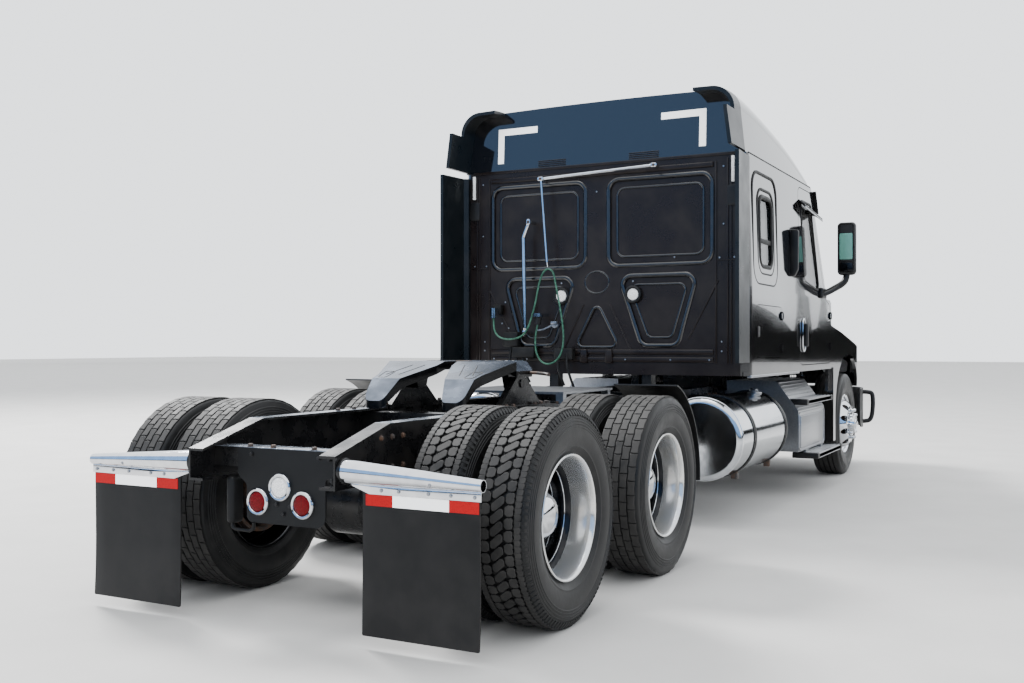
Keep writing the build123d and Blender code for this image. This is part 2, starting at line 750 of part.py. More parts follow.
# Fuel tanks, round, on brackets, with two straps each
tank = rod((tank_rear_x, tank_y, tank_z), (tank_front_x, tank_y, tank_z), tank_r)
tank = fillet(tank.edges(), 42)
save("fuel_tanks", tank, mirrored(tank))
strap_w = 60
strap_foot_z = (690, 900)
straps = []
for x in strap_places:
    strap = rod((x - strap_w / 2, tank_y, tank_z), (x + strap_w / 2, tank_y, tank_z), tank_r + 6)
    strap += block(x - strap_w / 2, x + strap_w / 2, rail_outer_y + seat_gap, tank_y - 120, *strap_foot_z)
    strap -= rod((x - strap_w, tank_y, tank_z), (x + strap_w, tank_y, tank_z), tank_r + seat_gap)
    straps += [strap, mirrored(strap)]
save("tank_straps", *straps)

# Step boxes: a box under a sloped tread, with two steps
box_outline = [(520, 390), (1150, 390), (1150, 745), (960, 1000), (520, 1000)]
step_box = front_prism(box_outline, *step_box_x, {3: 40})
# What the box carries: name, then the X, Y and Z of each block's two ends
step_table = [
    ("upper step", (1180, 2230), (1000, 1220), (800, 840)),
    ("lower step", (1330, 2380), (1060, 1280), (326, 366)),
    ("rear step arm", (1450, 1550), (1060, 1150), (326, 400)),
    ("front step arm", (2050, 2150), (1060, 1150), (326, 400)),
    ("rear bracket", (1400, 1500), (rail_outer_y + seat_gap, 560), (700, 900)),
    ("front bracket", (1900, 2000), (rail_outer_y + seat_gap, 560), (700, 900)),
]
for piece, x_ends, y_ends, z_ends in step_table:
    step_box += block(*x_ends, *y_ends, *z_ends)
save("step_boxes", step_box, mirrored(step_box))

# Deck plate behind the cab, on its feet
deck_x = (-2060, -1260)
deck_z = (1005, 1020)
deck = block(*deck_x, -rail_outer_y, rail_outer_y, *deck_z)
for x in (deck_x[0] + 30, deck_x[1] - 50):
    for y in (30 - rail_outer_y, rail_outer_y - 30):
        deck += block(x - 25, x + 25, y - 25, y + 25, rail_top_z + seat_gap, deck_z[0] + 3)
save("deck_plate", deck)

# Fifth wheel: two pedestals on the rails, and the plate that rocks on them
pedestal = side_prism(
    [(kingpin_x - 260, rail_top_z + 12), (kingpin_x + 260, rail_top_z + 12), (kingpin_x + 60, pivot_z + 36),
     (kingpin_x - 60, pivot_z + 36)],
    352, 392, {2: 30, 3: 30},
)
pedestal += block(kingpin_x - 330, kingpin_x + 330, 342, 428, rail_top_z + seat_gap, rail_top_z + 14)
pedestal -= rod((kingpin_x, 300, pivot_z), (kingpin_x, 460, pivot_z), pivot_r + seat_gap)
save("fifth_wheel_base", pedestal, mirrored(pedestal))

plate_outline = [
    (kingpin_x + 320, -190), (kingpin_x + 320, 190), (kingpin_x + 60, plate_half_w), (kingpin_x - 150, plate_half_w),
    (kingpin_x - 400, 350), (tip[0], 328), (tip[0], 198), (kingpin_x - 230, 52),
    (kingpin_x, kingpin_bore_r), (kingpin_x, -kingpin_bore_r), (kingpin_x - 230, -52), (tip[0], -198),
    (tip[0], -328), (kingpin_x - 400, -350), (kingpin_x - 150, -plate_half_w), (kingpin_x + 60, -plate_half_w),
]
plate_radii = {0: 150, 1: 150, 2: 90, 3: 90, 4: 60, 5: 50, 6: 40, 11: 40, 12: 50, 13: 60, 14: 90, 15: 90}
plate_body = plan_prism(plate_outline, rail_top_z - 48, plate_top_z, plate_radii)
plate_side = side_prism(
    [(kingpin_x + 330, plate_top_z - 22), (kingpin_x + 290, plate_top_z), (slope_x - 1, plate_top_z),
     (slope_x - 1, plate_under_z - 110), (kingpin_x + 330, plate_under_z - 110)],
    -500, 500,
)
plate_front = front_prism(
    [(-340, plate_top_z), (340, plate_top_z), (plate_half_w + 10, plate_top_z - 60),
     (plate_half_w + 10, plate_top_z - 95), (340, plate_under_z), (-340, plate_under_z),
     (-plate_half_w - 10, plate_top_z - 95), (-plate_half_w - 10, plate_top_z - 60)],
    tip[0] - 20, kingpin_x + 400,
)
ramp_side = side_prism(
    [(slope_x, plate_top_z), knee, tip, (tip[0], tip[1] - 45), (knee[0] + 15, knee[1] - 55), (slope_x, plate_under_z)],
    -500, 500,
)
fifth_wheel = (plate_body & plate_side & plate_front) + (plate_body & ramp_side)
for side in (1, -1):
    low, high = sorted((side * 300, side * 344))
    fifth_wheel += side_prism(
        [(kingpin_x - 90, plate_under_z + 5), (kingpin_x - 45, pivot_z - 38), (kingpin_x + 45, pivot_z - 38),
         (kingpin_x + 90, plate_under_z + 5)],
        low, high, {1: 30, 2: 30},
    )
    fifth_wheel += rod((kingpin_x, side * 340, pivot_z), (kingpin_x, side * 400, pivot_z), pivot_r)
fifth_wheel -= rod((kingpin_x, 0, rail_top_z), (kingpin_x, 0, plate_top_z + 50), kingpin_bore_r)
save("fifth_wheel_plate", fifth_wheel)

# Quarter fenders ahead of the front drive tyres, as curved strips on a stay
fender_r = 585
strip = turned([(fender_r, 800), (fender_r, 1205), (fender_r + 8, 1205), (fender_r + 8, 800)], front_drive_x, axle_z)
strip = strip & side_prism(
    [(front_drive_x, axle_z), (front_drive_x + 900, axle_z - 60), (front_drive_x + 900, axle_z + 900),
     (front_drive_x + 260, axle_z + 900)],
    700, 1300,
)
strip += rod((-1800, rail_outer_y + seat_gap, 840), (-1800, 1150, 840), 20)
save("quarter_fenders", strip, mirrored(strip))

# Mud flaps on tapered hangers behind the rear tyres
hanger_x = rear_end_x + 60
hanger_root_z, hanger_root_r = 762.5, 54.5
hanger_tip_y, hanger_tip_z, hanger_tip_r = 1140, 737.5, 26.5
flap_thick = 10
flap_y = (537, 1125)
flap_bottom_z = 52
hanger = tapered_bar(
    (hanger_x, rail_inner_y, hanger_root_z), (hanger_x, hanger_tip_y, hanger_tip_z), hanger_root_r, hanger_tip_r,
)
hanger -= block(
    hanger_x - 2 * hanger_root_r, hanger_x + 2 * hanger_root_r, 0, rail_outer_y + seat_gap, 0, 2 * hanger_root_z,
)
save("flap_hangers", hanger, mirrored(hanger))
flap = block(
    hanger_x - flap_thick / 2, hanger_x + flap_thick / 2, *flap_y, flap_bottom_z, hanger_root_z - hanger_root_r,
)
save("mud_flaps", flap, mirrored(flap))

# Chrome bar, rod and grab bar on the back wall, with the cable's socket, clip and holder
wall_face = back_wall_x - seat_gap
press_face = back_wall_x + press_depth - seat_gap
stand_x = back_wall_x - 90
bar_r = 12
bar_y = (437, -501)
bar_z = (2617, 2654)
rod_end = (stand_x, 385, 1964)
socket_y = 850
socket_z = (1530, 1610)
cable_x = back_wall_x - 112
bar = bent_tube(
    [(wall_face, bar_y[0], bar_z[0]), (stand_x, bar_y[0], bar_z[0]), (stand_x, bar_y[1], bar_z[1]),
     (wall_face, bar_y[1], bar_z[1])], 40, bar_r,
)
hang_rod = rod((stand_x, bar_y[0], bar_z[0]), rod_end, 9)
clip = rod(rod_end, (cable_x + 6, 371, 1921), 4)
grab_bar = bent_tube(
    [(press_face, 543, 2285), (stand_x, 543, 2285), (stand_x, 592, 2168), (stand_x, 578, 1410), (press_face, 578, 1410)],
    38, 15,
)
holder_z = 1536
holder = block(cable_x - 36, press_face, 420, 482, holder_z, holder_z + 26)
socket = rod((cable_x, socket_y, socket_z[0]), (cable_x, socket_y, socket_z[1]), 27)
socket += block(cable_x, wall_face, socket_y - 24, socket_y + 24, socket_z[0] + 15, socket_z[1])
save("cable_stand", bar + hang_rod + clip, grab_bar, holder, socket)

wall_lamps = []
wall_lamp_y = 300
wall_lamp_z = 1700
for y in (-wall_lamp_y, wall_lamp_y):
    wall_lamps.append(rod((press_face, y, wall_lamp_z), (back_wall_x - 22, y, wall_lamp_z), lamp_r - 1))
save("rear_lamps", *lamps, *wall_lamps)

# Grille and headlamps, cut from the hood's own skin so that they follow it
grille_outline = [(-470, 905), (470, 905), (400, 1290), (-400, 1290)]
grille_radii = {0: 60, 1: 60, 2: 60, 3: 60}
lamp_outline = [(700, 1000), (1000, 1010), (1010, 1130), (880, 1215), (720, 1190)]
lamp_radii = {0: 40, 1: 40, 2: 50, 3: 60, 4: 40}
nose_x = 3900
nose_reach = 700


def nose_cut(points, radii, gap=0):
    """A cutter through the nose, an outline shrunk by a gap."""
    face = outline(points, radii)
    if gap:
        face = offset(face, -gap)
    return Plane((nose_x, 0, 0), x_dir=(0, 1, 0), z_dir=(1, 0, 0)) * extrude(face, nose_reach)


grille = (hood_form(-10) - hood_form(hood_wall)) & nose_cut(grille_outline, grille_radii, seat_gap)
slot_count = 6
slot_first_z = 938
slot_pitch = 56
slot_height = 30
slot_end_y = 410
for index in range(slot_count):
    z = slot_first_z + index * slot_pitch
    half = slot_end_y - index * 12
    for ends in ((-half, -12), (12, half)):
        grille -= block(nose_x, front_end_x, *ends, z, z + slot_height)
hood -= nose_cut(grille_outline, grille_radii)
lamp_shell = outer - inner
headlamp = lamp_shell & nose_cut(lamp_outline, lamp_radii, seat_gap)
lamp_hole = nose_cut(lamp_outline, lamp_radii)
hood -= lamp_hole + mirrored(lamp_hole)
ear_y = (475, 495)
ear = block(hood_hinge_x - 25, hood_front_x - hood_wall + 8, *ear_y, hood_hinge_z - 16, 960)
ear += rod((hood_hinge_x, ear_y[0], hood_hinge_z), (hood_hinge_x, ear_y[1], hood_hinge_z), 26)
ear -= rod((hood_hinge_x, ear_y[0] - 5, hood_hinge_z), (hood_hinge_x, ear_y[1] + 5, hood_hinge_z), hood_pin_r + seat_gap)
hood += ear + mirrored(ear)
save("hood", hood)
save("grille", grille)
save("headlamps", headlamp, mirrored(headlamp))

# Sun visor over the windscreen, on three stays
visor_gap = 50
visor_thick = 12
visor_low_z = 2300
visor = leaning_front(-visor_gap - visor_thick, visor_low_z) - leaning_front(-visor_gap, visor_low_z)
visor = visor & block(door_rear_x, far_x, -1205, 1205, 2500, 2690)
stay_form = leaning_front(-visor_gap - visor_thick / 2, visor_low_z) - leaning_front(-seat_gap, visor_low_z)
for y in (-700, 0, 700):
    visor += stay_form & block(door_rear_x, far_x, y - 15, y + 15, 2640, 2680)
save("sun_visor", visor)

# Door mirrors: a rounded head on an arm that stands off the door's front corner
mirror_head = block(1925, 2020, 1322, 1490, 1955, 2440)
mirror_head = fillet(mirror_head.edges().filter_by(Axis.Z), 38)
mirror_arm = bent_tube([(1905, 1160, 1788), (1905, 1215, 1788), (1960, 1405, 1880), (1970, 1405, 1990)], 40, 30)
mirror_left = mirror_head + (mirror_arm - block(door_rear_x, far_x, 0, cab_half_w + seat_gap, 0, far_z))
save("mirror_left", mirror_left)
save("mirror_right", mirrored(mirror_left))

# Wheels. Profile points are radius and distance from the tyre's middle, outer side positive
tyre_profile = [
    (bead_r + seat_gap, -102), (299, -106.5), (332, -130), (405, -tyre_half_w), (465, -138), (496, -126), (tyre_r, -104),
    (tyre_r, 104), (496, 126), (465, 138), (405, tyre_half_w), (332, 130), (299, 106.5), (bead_r + seat_gap, 102),
]
rim_profile = [
    (flange_r, flange_u), (flange_r, 109), (bead_r, 103), (bead_r, 66), (256, 44), (256, -62), (bead_r, -84),
    (bead_r, -103), (flange_r, -109), (flange_r, -flange_u), (289, -flange_u), (277, -106), (277, -88), (248, -66),
    (238, -112), (214, -152), (190, -disc_mount_u), (110, -disc_mount_u), (110, disc_thick - disc_mount_u),
    (184, disc_thick - disc_mount_u), (204, -134), (226, -100), (247, -40), (247, 40), (277, 62), (277, 104),
    (289, flange_u),
]


def placed(profile, middle, flip=1):
    """A wheel profile moved to its tyre's middle, turned round if flip is -1."""
    return [(r, middle + flip * u) for r, u in profile]


def hole_ring(x, y0, y1, side):
    """The hand holes' cutters through a wheel's disc."""
    holes = []
    for index in range(hub_holes):
        angle = math.radians(360 / hub_holes * (index + 0.5))
        hx = x + hand_hole_ring_r * math.cos(angle)
        hz = axle_z + hand_hole_ring_r * math.sin(angle)
        holes.append(rod((hx, side * y0, hz), (hx, side * y1, hz), hand_hole_r))
    return Compound(children=holes)


# Dual wheels: end name, axle X and side
dual_table = [
    ("rear_left", rear_axle_x, 1),
    ("rear_right", rear_axle_x, -1),
    ("front_left", front_drive_x, 1),
    ("front_right", front_drive_x, -1),
]
outer_y = dual_mount_y + disc_mount_u
inner_y = dual_mount_y - disc_mount_u
hub_bore_r = spindle_r + seat_gap
dual_hub = [
    (hub_bore_r, 690), (95, 690), (95, 866), (drum_r - drum_wall, 866), (drum_r - drum_wall, 655), (drum_r, 655),
    (drum_r, dual_mount_y - disc_thick), (115, dual_mount_y - disc_thick), (115, dual_mount_y + disc_thick),
    (108, 985), (92, 1008), (0, 1012), (0, spindle_end_y + 3), (hub_bore_r, spindle_end_y + 3),
]
for name, x, side in dual_table:
    tyres = [
        turned(placed(tyre_profile, outer_y), x, axle_z, side),
        turned(placed(tyre_profile, inner_y, -1), x, axle_z, side),
    ]
    save(f"dual_tyres_{name}", *tyres)
    rims = turned(placed(rim_profile, outer_y), x, axle_z, side)
    rims += turned(placed(rim_profile, inner_y, -1), x, axle_z, side)
    rims -= hole_ring(x, dual_mount_y - 60, dual_mount_y + 60, side)
    rims += turned(dual_hub, x, axle_z, side)
    save(f"dual_rims_{name}", rims)

# Steered wheels: the same wheel turned round, on a hub with its own spindle bore
steer_spindle_r = 40
steer_spindle = (965, 1180)
steer_mount_y = steer_tyre_y + disc_mount_u
steer_bore_r = steer_spindle_r + seat_gap
steer_hub = [
    (steer_bore_r, 990), (80, 990), (80, 1150), (drum_r - drum_wall, 1150), (drum_r - drum_wall, 975), (drum_r, 975),
    (drum_r, 1166), (125, 1166), (125, steer_mount_y), (100, 1262), (86, 1282), (0, 1286), (0, steer_spindle[1] + 3),
    (steer_bore_r, steer_spindle[1] + 3),
]
arm_back = 210
knuckle_z = (405, 619)
knuckle_flange_y = (945, 965)
steer_arm_z = (408, 442)
for name, side in (("left", 1), ("right", -1)):
    save(f"steer_tyre_{name}", turned(placed(tyre_profile, steer_tyre_y), steer_axle_x, axle_z, side))
    rim = turned(placed(rim_profile, steer_tyre_y, -1), steer_axle_x, axle_z, side)
    rim -= hole_ring(steer_axle_x, steer_mount_y - 80, steer_mount_y + 60, side)
    rim += turned(steer_hub, steer_axle_x, axle_z, side)
    save(f"steer_rim_{name}", rim)
    y_pin = side * kingpin_y
    knuckle = rod((steer_axle_x, y_pin, knuckle_z[0] + 2), (steer_axle_x, y_pin, knuckle_z[1] - 2), pin_r)
    for z0, z1 in ((knuckle_z[0], boss_z[0] - 5), (boss_z[1] + 5, knuckle_z[1])):
        low, high = sorted((y_pin, side * knuckle_flange_y[1]))
        knuckle += block(steer_axle_x - 42, steer_axle_x + 42, low, high, z0, z1)
        knuckle += rod((steer_axle_x, y_pin, z0), (steer_axle_x, y_pin, z1), 42)
    low, high = sorted((side * knuckle_flange_y[0], side * knuckle_flange_y[1]))
    knuckle += block(steer_axle_x - 60, steer_axle_x + 60, low, high, *knuckle_z)
    knuckle += rod((steer_axle_x, side * 960, axle_z), (steer_axle_x, side * steer_spindle[1], axle_z), steer_spindle_r)
    knuckle += block(steer_axle_x - arm_back, steer_axle_x, y_pin - 20, y_pin + 20, *steer_arm_z)
    knuckle += rod((steer_axle_x - arm_back, y_pin, steer_arm_z[0]), (steer_axle_x - arm_back, y_pin, steer_arm_z[1]), 30)
    knuckle -= rod((steer_axle_x - arm_back, y_pin, 380), (steer_axle_x - arm_back, y_pin, 460), 14 + seat_gap)
    save(f"knuckle_{name}", knuckle)

tie_x = steer_axle_x - arm_back
tie_z = 385
tie_r = 18
tie_rod = rod((tie_x, -kingpin_y, tie_z), (tie_x, kingpin_y, tie_z), tie_r)
for y, radius in ((kingpin_y, 14), (-kingpin_y, 11)):
    tie_rod += rod((tie_x, y, tie_z - tie_r), (tie_x, y, steer_arm_z[1]), radius)
save("tie_rod", tie_rod)

# Supply cable: from its socket on the wall, up over the rod's clip, down in a loop and back to its plug
cable_r = 7
# Route points: Y, Z and how far each lies behind the socket's X
cable_table = [
    (850, 1530, 0), (850, 1468, 0), (832, 1414, 8), (790, 1376, 16), (715, 1358, 20), (630, 1366, 24),
    (568, 1392, 26), (522, 1460, 22), (497, 1545, 14), (472, 1640, 8), (455, 1730, 4), (440, 1805, 0),
    (420, 1862, 0), (398, 1894, 0), (368, 1910, 0), (337, 1901, 0), (316, 1870, 0), (303, 1815, 2),
    (287, 1745, 6), (268, 1665, 10), (248, 1565, 14), (228, 1455, 16), (222, 1345, 16), (244, 1245, 14),
    (300, 1182, 10), (368, 1162, 8), (432, 1190, 6), (470, 1262, 2), (477, 1345, 0), (470, 1415, 0), (455, 1476, 0),
]
cable_route = [(cable_x - back, y, z) for y, z, back in cable_table]
arc_share = 0.45
cable_radii = []
for before, corner, after in zip(cable_route, cable_route[1:], cable_route[2:]):
    run_in = Vector(*corner) - Vector(*before)
    run_out = Vector(*after) - Vector(*corner)
    turn = math.radians(run_in.get_angle(run_out))
    cable_radii.append(arc_share * min(run_in.length, run_out.length) / math.tan(turn / 2))
cable_path = FilletPolyline(*cable_route, radius=cable_radii)
cable = sweep(Plane(cable_path @ 0, z_dir=cable_path % 0) * Circle(cable_r), path=cable_path)
print("cable radii", [round(r) for r in cable_radii])
print("cable length", round(cable_path.length), "volume check", round(cable.volume / (math.pi * cable_r**2), 1))
save("supply_cable", cable)

plug_start = Vector(*cable_route[-1])
plug_way = (plug_start - Vector(*cable_route[-2])).normalized()
plug = rod(tuple(plug_start), tuple(plug_start + plug_way * 58), 24) & block(-900, 0, 0, 900, 1000, holder_z - seat_gap)
save("cable_plug", plug)
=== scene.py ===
"""A three-axle semi truck tractor unit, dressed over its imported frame.

Metres, X forward, Y to the truck's left, Z up, the ground at zero.
"""
import math
import random

import bpy
from bpy.props import FloatProperty, FloatVectorProperty, IntProperty, PointerProperty
from mathutils import Matrix, Vector


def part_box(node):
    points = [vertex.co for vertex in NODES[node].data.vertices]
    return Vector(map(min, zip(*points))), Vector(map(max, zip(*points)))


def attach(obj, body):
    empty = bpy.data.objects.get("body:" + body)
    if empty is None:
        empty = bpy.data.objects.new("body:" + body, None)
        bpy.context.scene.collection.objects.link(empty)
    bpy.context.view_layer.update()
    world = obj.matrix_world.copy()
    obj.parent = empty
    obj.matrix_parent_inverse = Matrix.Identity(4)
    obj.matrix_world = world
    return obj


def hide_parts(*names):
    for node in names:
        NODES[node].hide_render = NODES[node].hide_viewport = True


bl_info = {
    "name": "Tractor Unit",
    "version": (1, 0, 0),
    "blender": (4, 5, 0),
    "location": "3D View > Sidebar > Tractor",
    "description": "Dresses the packed tractor unit with tyres, wheels, trim, lamps and finishes",
    "category": "Object",
}

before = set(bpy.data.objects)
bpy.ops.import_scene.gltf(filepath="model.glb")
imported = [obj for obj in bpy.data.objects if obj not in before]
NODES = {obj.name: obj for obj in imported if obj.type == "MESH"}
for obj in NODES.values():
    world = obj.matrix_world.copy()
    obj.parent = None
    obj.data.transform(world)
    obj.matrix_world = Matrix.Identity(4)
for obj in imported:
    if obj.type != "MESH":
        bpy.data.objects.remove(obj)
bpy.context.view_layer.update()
SIDES = ((1, "left"), (-1, "right"))

# Places that the frame gives
REAR_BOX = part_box("dual_tyres_rear_right")
FRONT_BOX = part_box("dual_tyres_front_right")
STEER_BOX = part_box("steer_tyre_right")
AXLE_Z = (REAR_BOX[0].z + REAR_BOX[1].z) / 2
TYRE_R = (REAR_BOX[1].z - REAR_BOX[0].z) / 2
REAR_X = (REAR_BOX[0].x + REAR_BOX[1].x) / 2
FRONT_X = (FRONT_BOX[0].x + FRONT_BOX[1].x) / 2
STEER_X = (STEER_BOX[0].x + STEER_BOX[1].x) / 2
STEER_Y = -(STEER_BOX[0].y + STEER_BOX[1].y) / 2
TYRE_HALF = (STEER_BOX[1].y - STEER_BOX[0].y) / 2
OUTER_Y = -REAR_BOX[0].y - TYRE_HALF
INNER_Y = -REAR_BOX[1].y + TYRE_HALF
DUAL_MOUNT_Y = (OUTER_Y + INNER_Y) / 2
WALL_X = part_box("back_wall")[0].x
GLASS_INSET = 0.012
CAB_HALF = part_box("door_glass_left")[1].y + GLASS_INSET
TANK_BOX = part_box("fuel_tanks")
HANGER_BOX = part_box("flap_hangers")
FLAP_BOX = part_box("mud_flaps")
RAIL_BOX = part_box("frame")
RAIL_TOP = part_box("fifth_wheel_base")[0].z


class TyreSizes(bpy.types.PropertyGroup):
    groove_depth: FloatProperty(
        name="Groove depth", description="Depth of the tread between its blocks",
        default=0.013, min=0.004, max=0.02, unit="LENGTH",
    )
    pitch_count: IntProperty(
        name="Pitches", description="Lugs round a rear tyre in one row", default=59, min=40, max=72,
    )
    shoulder_count: IntProperty(
        name="Shoulder notches", description="Notches round a tyre's shoulder", default=108, min=40, max=160,
    )


class PaintColours(bpy.types.PropertyGroup):
    body: FloatVectorProperty(
        name="Body paint", description="Gloss paint of cab, hood and roof", subtype="COLOR", size=3,
        default=(0.0042, 0.0042, 0.0052), min=0, max=1,
    )
    chassis: FloatVectorProperty(
        name="Chassis paint", description="Paint of the rails and brackets", subtype="COLOR", size=3,
        default=(0.006, 0.006, 0.0065), min=0, max=1,
    )
    wall: FloatVectorProperty(
        name="Back wall", description="Satin finish of the sleeper's back wall", subtype="COLOR", size=3,
        default=(0.0095, 0.006, 0.0055), min=0, max=1,
    )
    cable: FloatVectorProperty(
        name="Cable jacket", description="Colour of the supply cable", subtype="COLOR", size=3,
        default=(0.012, 0.075, 0.043), min=0, max=1,
    )


class StageSizes(bpy.types.PropertyGroup):
    floor: FloatProperty(
        name="Floor", description="Width of the pale floor", default=160.0, min=20, max=400, unit="LENGTH",
    )
    sky: FloatProperty(name="Sky", description="Strength of the pale sky", default=2.3, min=0, max=6)
    lens: FloatProperty(name="Lens", description="Focal length in millimetres", default=37.81, min=20, max=80)


def settings():
    """The scene's sizes and colours."""
    return bpy.context.scene.tractor


class TractorSettings(bpy.types.PropertyGroup):
    tyre: PointerProperty(type=TyreSizes)
    paint: PointerProperty(type=PaintColours)
    stage: PointerProperty(type=StageSizes)


# Shader maths


class Socket:
    """A node's output, with arithmetic that adds Math nodes."""

    def __init__(self, finish, link):
        self.finish = finish
        self.link = link

    def maths(self, operation, *values):
        return self.finish.add("ShaderNodeMath", {"operation": operation}, *values)

    def __add__(self, other):
        return self.maths("ADD", self, other)

    def __rsub__(self, other):
        return self.maths("SUBTRACT", other, self)

    def __mul__(self, other):
        return self.maths("MULTIPLY", self, other)


class Finish:
    """A material on the principled shader, reading Object coordinates."""

    made = {}

    def __init__(self, name, **values):
        self.material = bpy.data.materials.new(name)
        self.material.use_nodes = True
        self.tree = self.material.node_tree
        self.shader = self.tree.nodes["Principled BSDF"]
        for socket, value in values.items():
            self.shader.inputs[socket.replace("_", " ")].default_value = value
        Finish.made[name] = self.material

    def add(self, kind, options=None, *values, output=0, **named):
        """One node: its settings first, then the values or links of its sockets."""
        node = self.tree.nodes.new(kind)
        for key, value in (options or {}).items():
            setattr(node, key, value)
        for index, value in list(enumerate(values)) + list(named.items()):
            socket = node.inputs[index.replace("_", " ") if isinstance(index, str) else index]
            if isinstance(value, Socket):
                self.tree.links.new(value.link, socket)
            else:
                socket.default_value = value
        return Socket(self, node.outputs[output])

    def place(self, centre=(0, 0, 0), stretch=(1, 1, 1)):
        """Object coordinates about a centre."""
        here = self.add("ShaderNodeTexCoord", output="Object")
        shift = tuple(-c * s for c, s in zip(centre, stretch))
        return self.add("ShaderNodeMapping", None, here, Location=shift, Scale=stretch)

    def axis(self, letter):
        """One coordinate of the place."""
        return self.add("ShaderNodeSeparateXYZ", None, self.place(), output="XYZ".index(letter))

    def facing(self, letter):
        """How far a surface faces along an axis of its object."""
        normal = self.add("ShaderNodeTexCoord", output="Normal")
        return self.add("ShaderNodeSeparateXYZ", None, normal, output="XYZ".index(letter))

    def noise(self, scale, detail, stretch=(1, 1, 1)):
        return self.add(
            "ShaderNodeTexNoise", {"noise_dimensions": "3D"}, Vector=self.place(stretch=stretch),
            Scale=scale, Detail=detail, Roughness=0.55,
        )

    def cells(self, scale, stretch=(1, 1, 1)):
        return self.add("ShaderNodeTexVoronoi", None, Vector=self.place(stretch=stretch), Scale=scale)

    def ramp(self, value, low, high):
        """value from low..high spread over 0..1."""
        return self.add("ShaderNodeMapRange", {"clamp": True}, value, low, high)

    def mix(self, factor, low, high):
        """A colour between two colours, which are the node's inputs 6 and 7 and its output 2."""
        node = self.tree.nodes.new("ShaderNodeMix")
        node.data_type = "RGBA"
        self.tree.links.new(factor.link, node.inputs["Factor"])
        for index, colour in ((6, low), (7, high)):
            if isinstance(colour, Socket):
                self.tree.links.new(colour.link, node.inputs[index])
            else:
                node.inputs[index].default_value = (*colour, 1)
        return Socket(self, node.outputs[2])

    def feed(self, **links):
        """Links what varies to the shader."""
        for name, value in links.items():
            self.tree.links.new(value.link, self.shader.inputs[name.replace("_", " ")])

    def bump(self, height, depth, strength):
        """A Bump node on Normal, its depth in metres."""
        self.feed(Normal=self.add("ShaderNodeBump", None, Strength=strength, Distance=depth, Height=height))


MAKERS = {}


def fills():
    """Files a finish's maker under its function's name."""
    def filed(maker):
        MAKERS[maker.__name__] = maker
        return maker
    return filed


def finish(name):
    """A finish by its name, made once."""
    if name not in Finish.made:
        MAKERS[name](name)
    return Finish.made[name]


def clouded(name, noise, spread, first, second, rough, bump=None, **values):
    """A finish whose colour and roughness follow one noise.

    Noise is its scale, detail and stretch. Spread is the part of it over which the first colour turns into
    the second. Rough is the part over which roughness grows, by how much it grows, and its least value. Bump
    is a second noise's scale and detail, its depth in metres and its strength.
    """
    made = Finish(name, **values)
    cloud = made.noise(*noise)
    low, high, share, least = rough
    made.feed(
        Base_Color=made.mix(made.ramp(cloud, *spread), first, second),
        Roughness=made.ramp(cloud, low, high) * share + least,
    )
    if bump:
        scale, detail, depth, strength = bump
        made.bump(made.noise(scale, detail), depth, strength)
    return made


@fills()
def body_paint(name):
    paint = Finish(name, IOR=1.6, Coat_Weight=0.6, Coat_Roughness=0.02, Coat_IOR=1.55)
    dust = paint.noise(3.2, 5)
    low = paint.ramp(paint.axis("Z"), 1.5, 0.9) * dust
    paint.feed(
        Base_Color=paint.mix(low * 0.5, tuple(settings().paint.body), (0.03, 0.027, 0.024)),
        Roughness=paint.ramp(dust, 0.3, 0.8) * 0.06 + 0.035,
    )
    paint.bump(paint.noise(160, 3) * 0.15 + paint.noise(1.1, 2), 0.0016, 0.35)


@fills()
def chassis_paint(name):
    paint = Finish(name, IOR=1.5, Specular_IOR_Level=0.35)
    dust = paint.noise(9, 6)
    dirt = paint.ramp(dust, 0.48, 0.8) * 0.5 + paint.ramp(paint.cells(55), 0.16, 0.05) * 0.2
    paint.feed(
        Base_Color=paint.mix(dirt, tuple(settings().paint.chassis), (0.034, 0.03, 0.027)),
        Roughness=paint.ramp(dust, 0.3, 0.75) * 0.25 + 0.17,
    )
    paint.bump(paint.noise(60, 4), 0.001, 0.4)


@fills()
def wall_satin(name):
    satin = Finish(name, IOR=1.5, Specular_IOR_Level=0.28)
    dust = satin.noise(5, 7)
    speck = satin.ramp(satin.cells(42), 0.10, 0.03) * satin.ramp(satin.axis("Z"), 1.75, 1.2)
    dirt = satin.ramp(dust, 0.45, 0.75) * 0.45 + speck * 0.5
    satin.feed(
        Base_Color=satin.mix(dirt, tuple(settings().paint.wall), (0.026, 0.021, 0.018)),
        Roughness=satin.ramp(dust, 0.3, 0.7) * 0.16 + 0.24,
    )
    satin.bump(satin.noise(26, 4) + satin.noise(260, 2) * 0.1, 0.0012, 0.4)


@fills()
def polished_aluminium(name):
    clouded(
        name, (18, 5), (0.35, 0.7), (0.74, 0.75, 0.77), (0.62, 0.63, 0.66), (0.3, 0.75, 0.08, 0.05),
        (7, 2, 0.0015, 0.25), Metallic=1.0,
    )


@fills()
def tank_metal(name):
    clouded(
        name, (9, 5, (0.15, 1, 1)), (0.35, 0.7), (0.62, 0.64, 0.66), (0.44, 0.46, 0.49),
        (0.3, 0.75, 0.10, 0.07), (2.2, 3, 0.004, 0.3), Metallic=1.0,
    )


@fills()
def brushed_aluminium(name):
    metal = Finish(name, Metallic=1.0)
    streak = metal.noise(60, 4, (0.06, 1, 1))
    metal.feed(
        Base_Color=metal.mix(streak, (0.24, 0.25, 0.265), (0.46, 0.465, 0.48)),
        Roughness=streak * 0.2 + 0.22,
    )
    metal.bump(streak, 0.0006, 0.4)


@fills()
def chrome_plate(name):
    clouded(
        name, (24, 4), (0.4, 0.75), (0.66, 0.67, 0.69), (0.52, 0.53, 0.55), (0.35, 0.8, 0.07, 0.03),
        Metallic=1.0,
    )


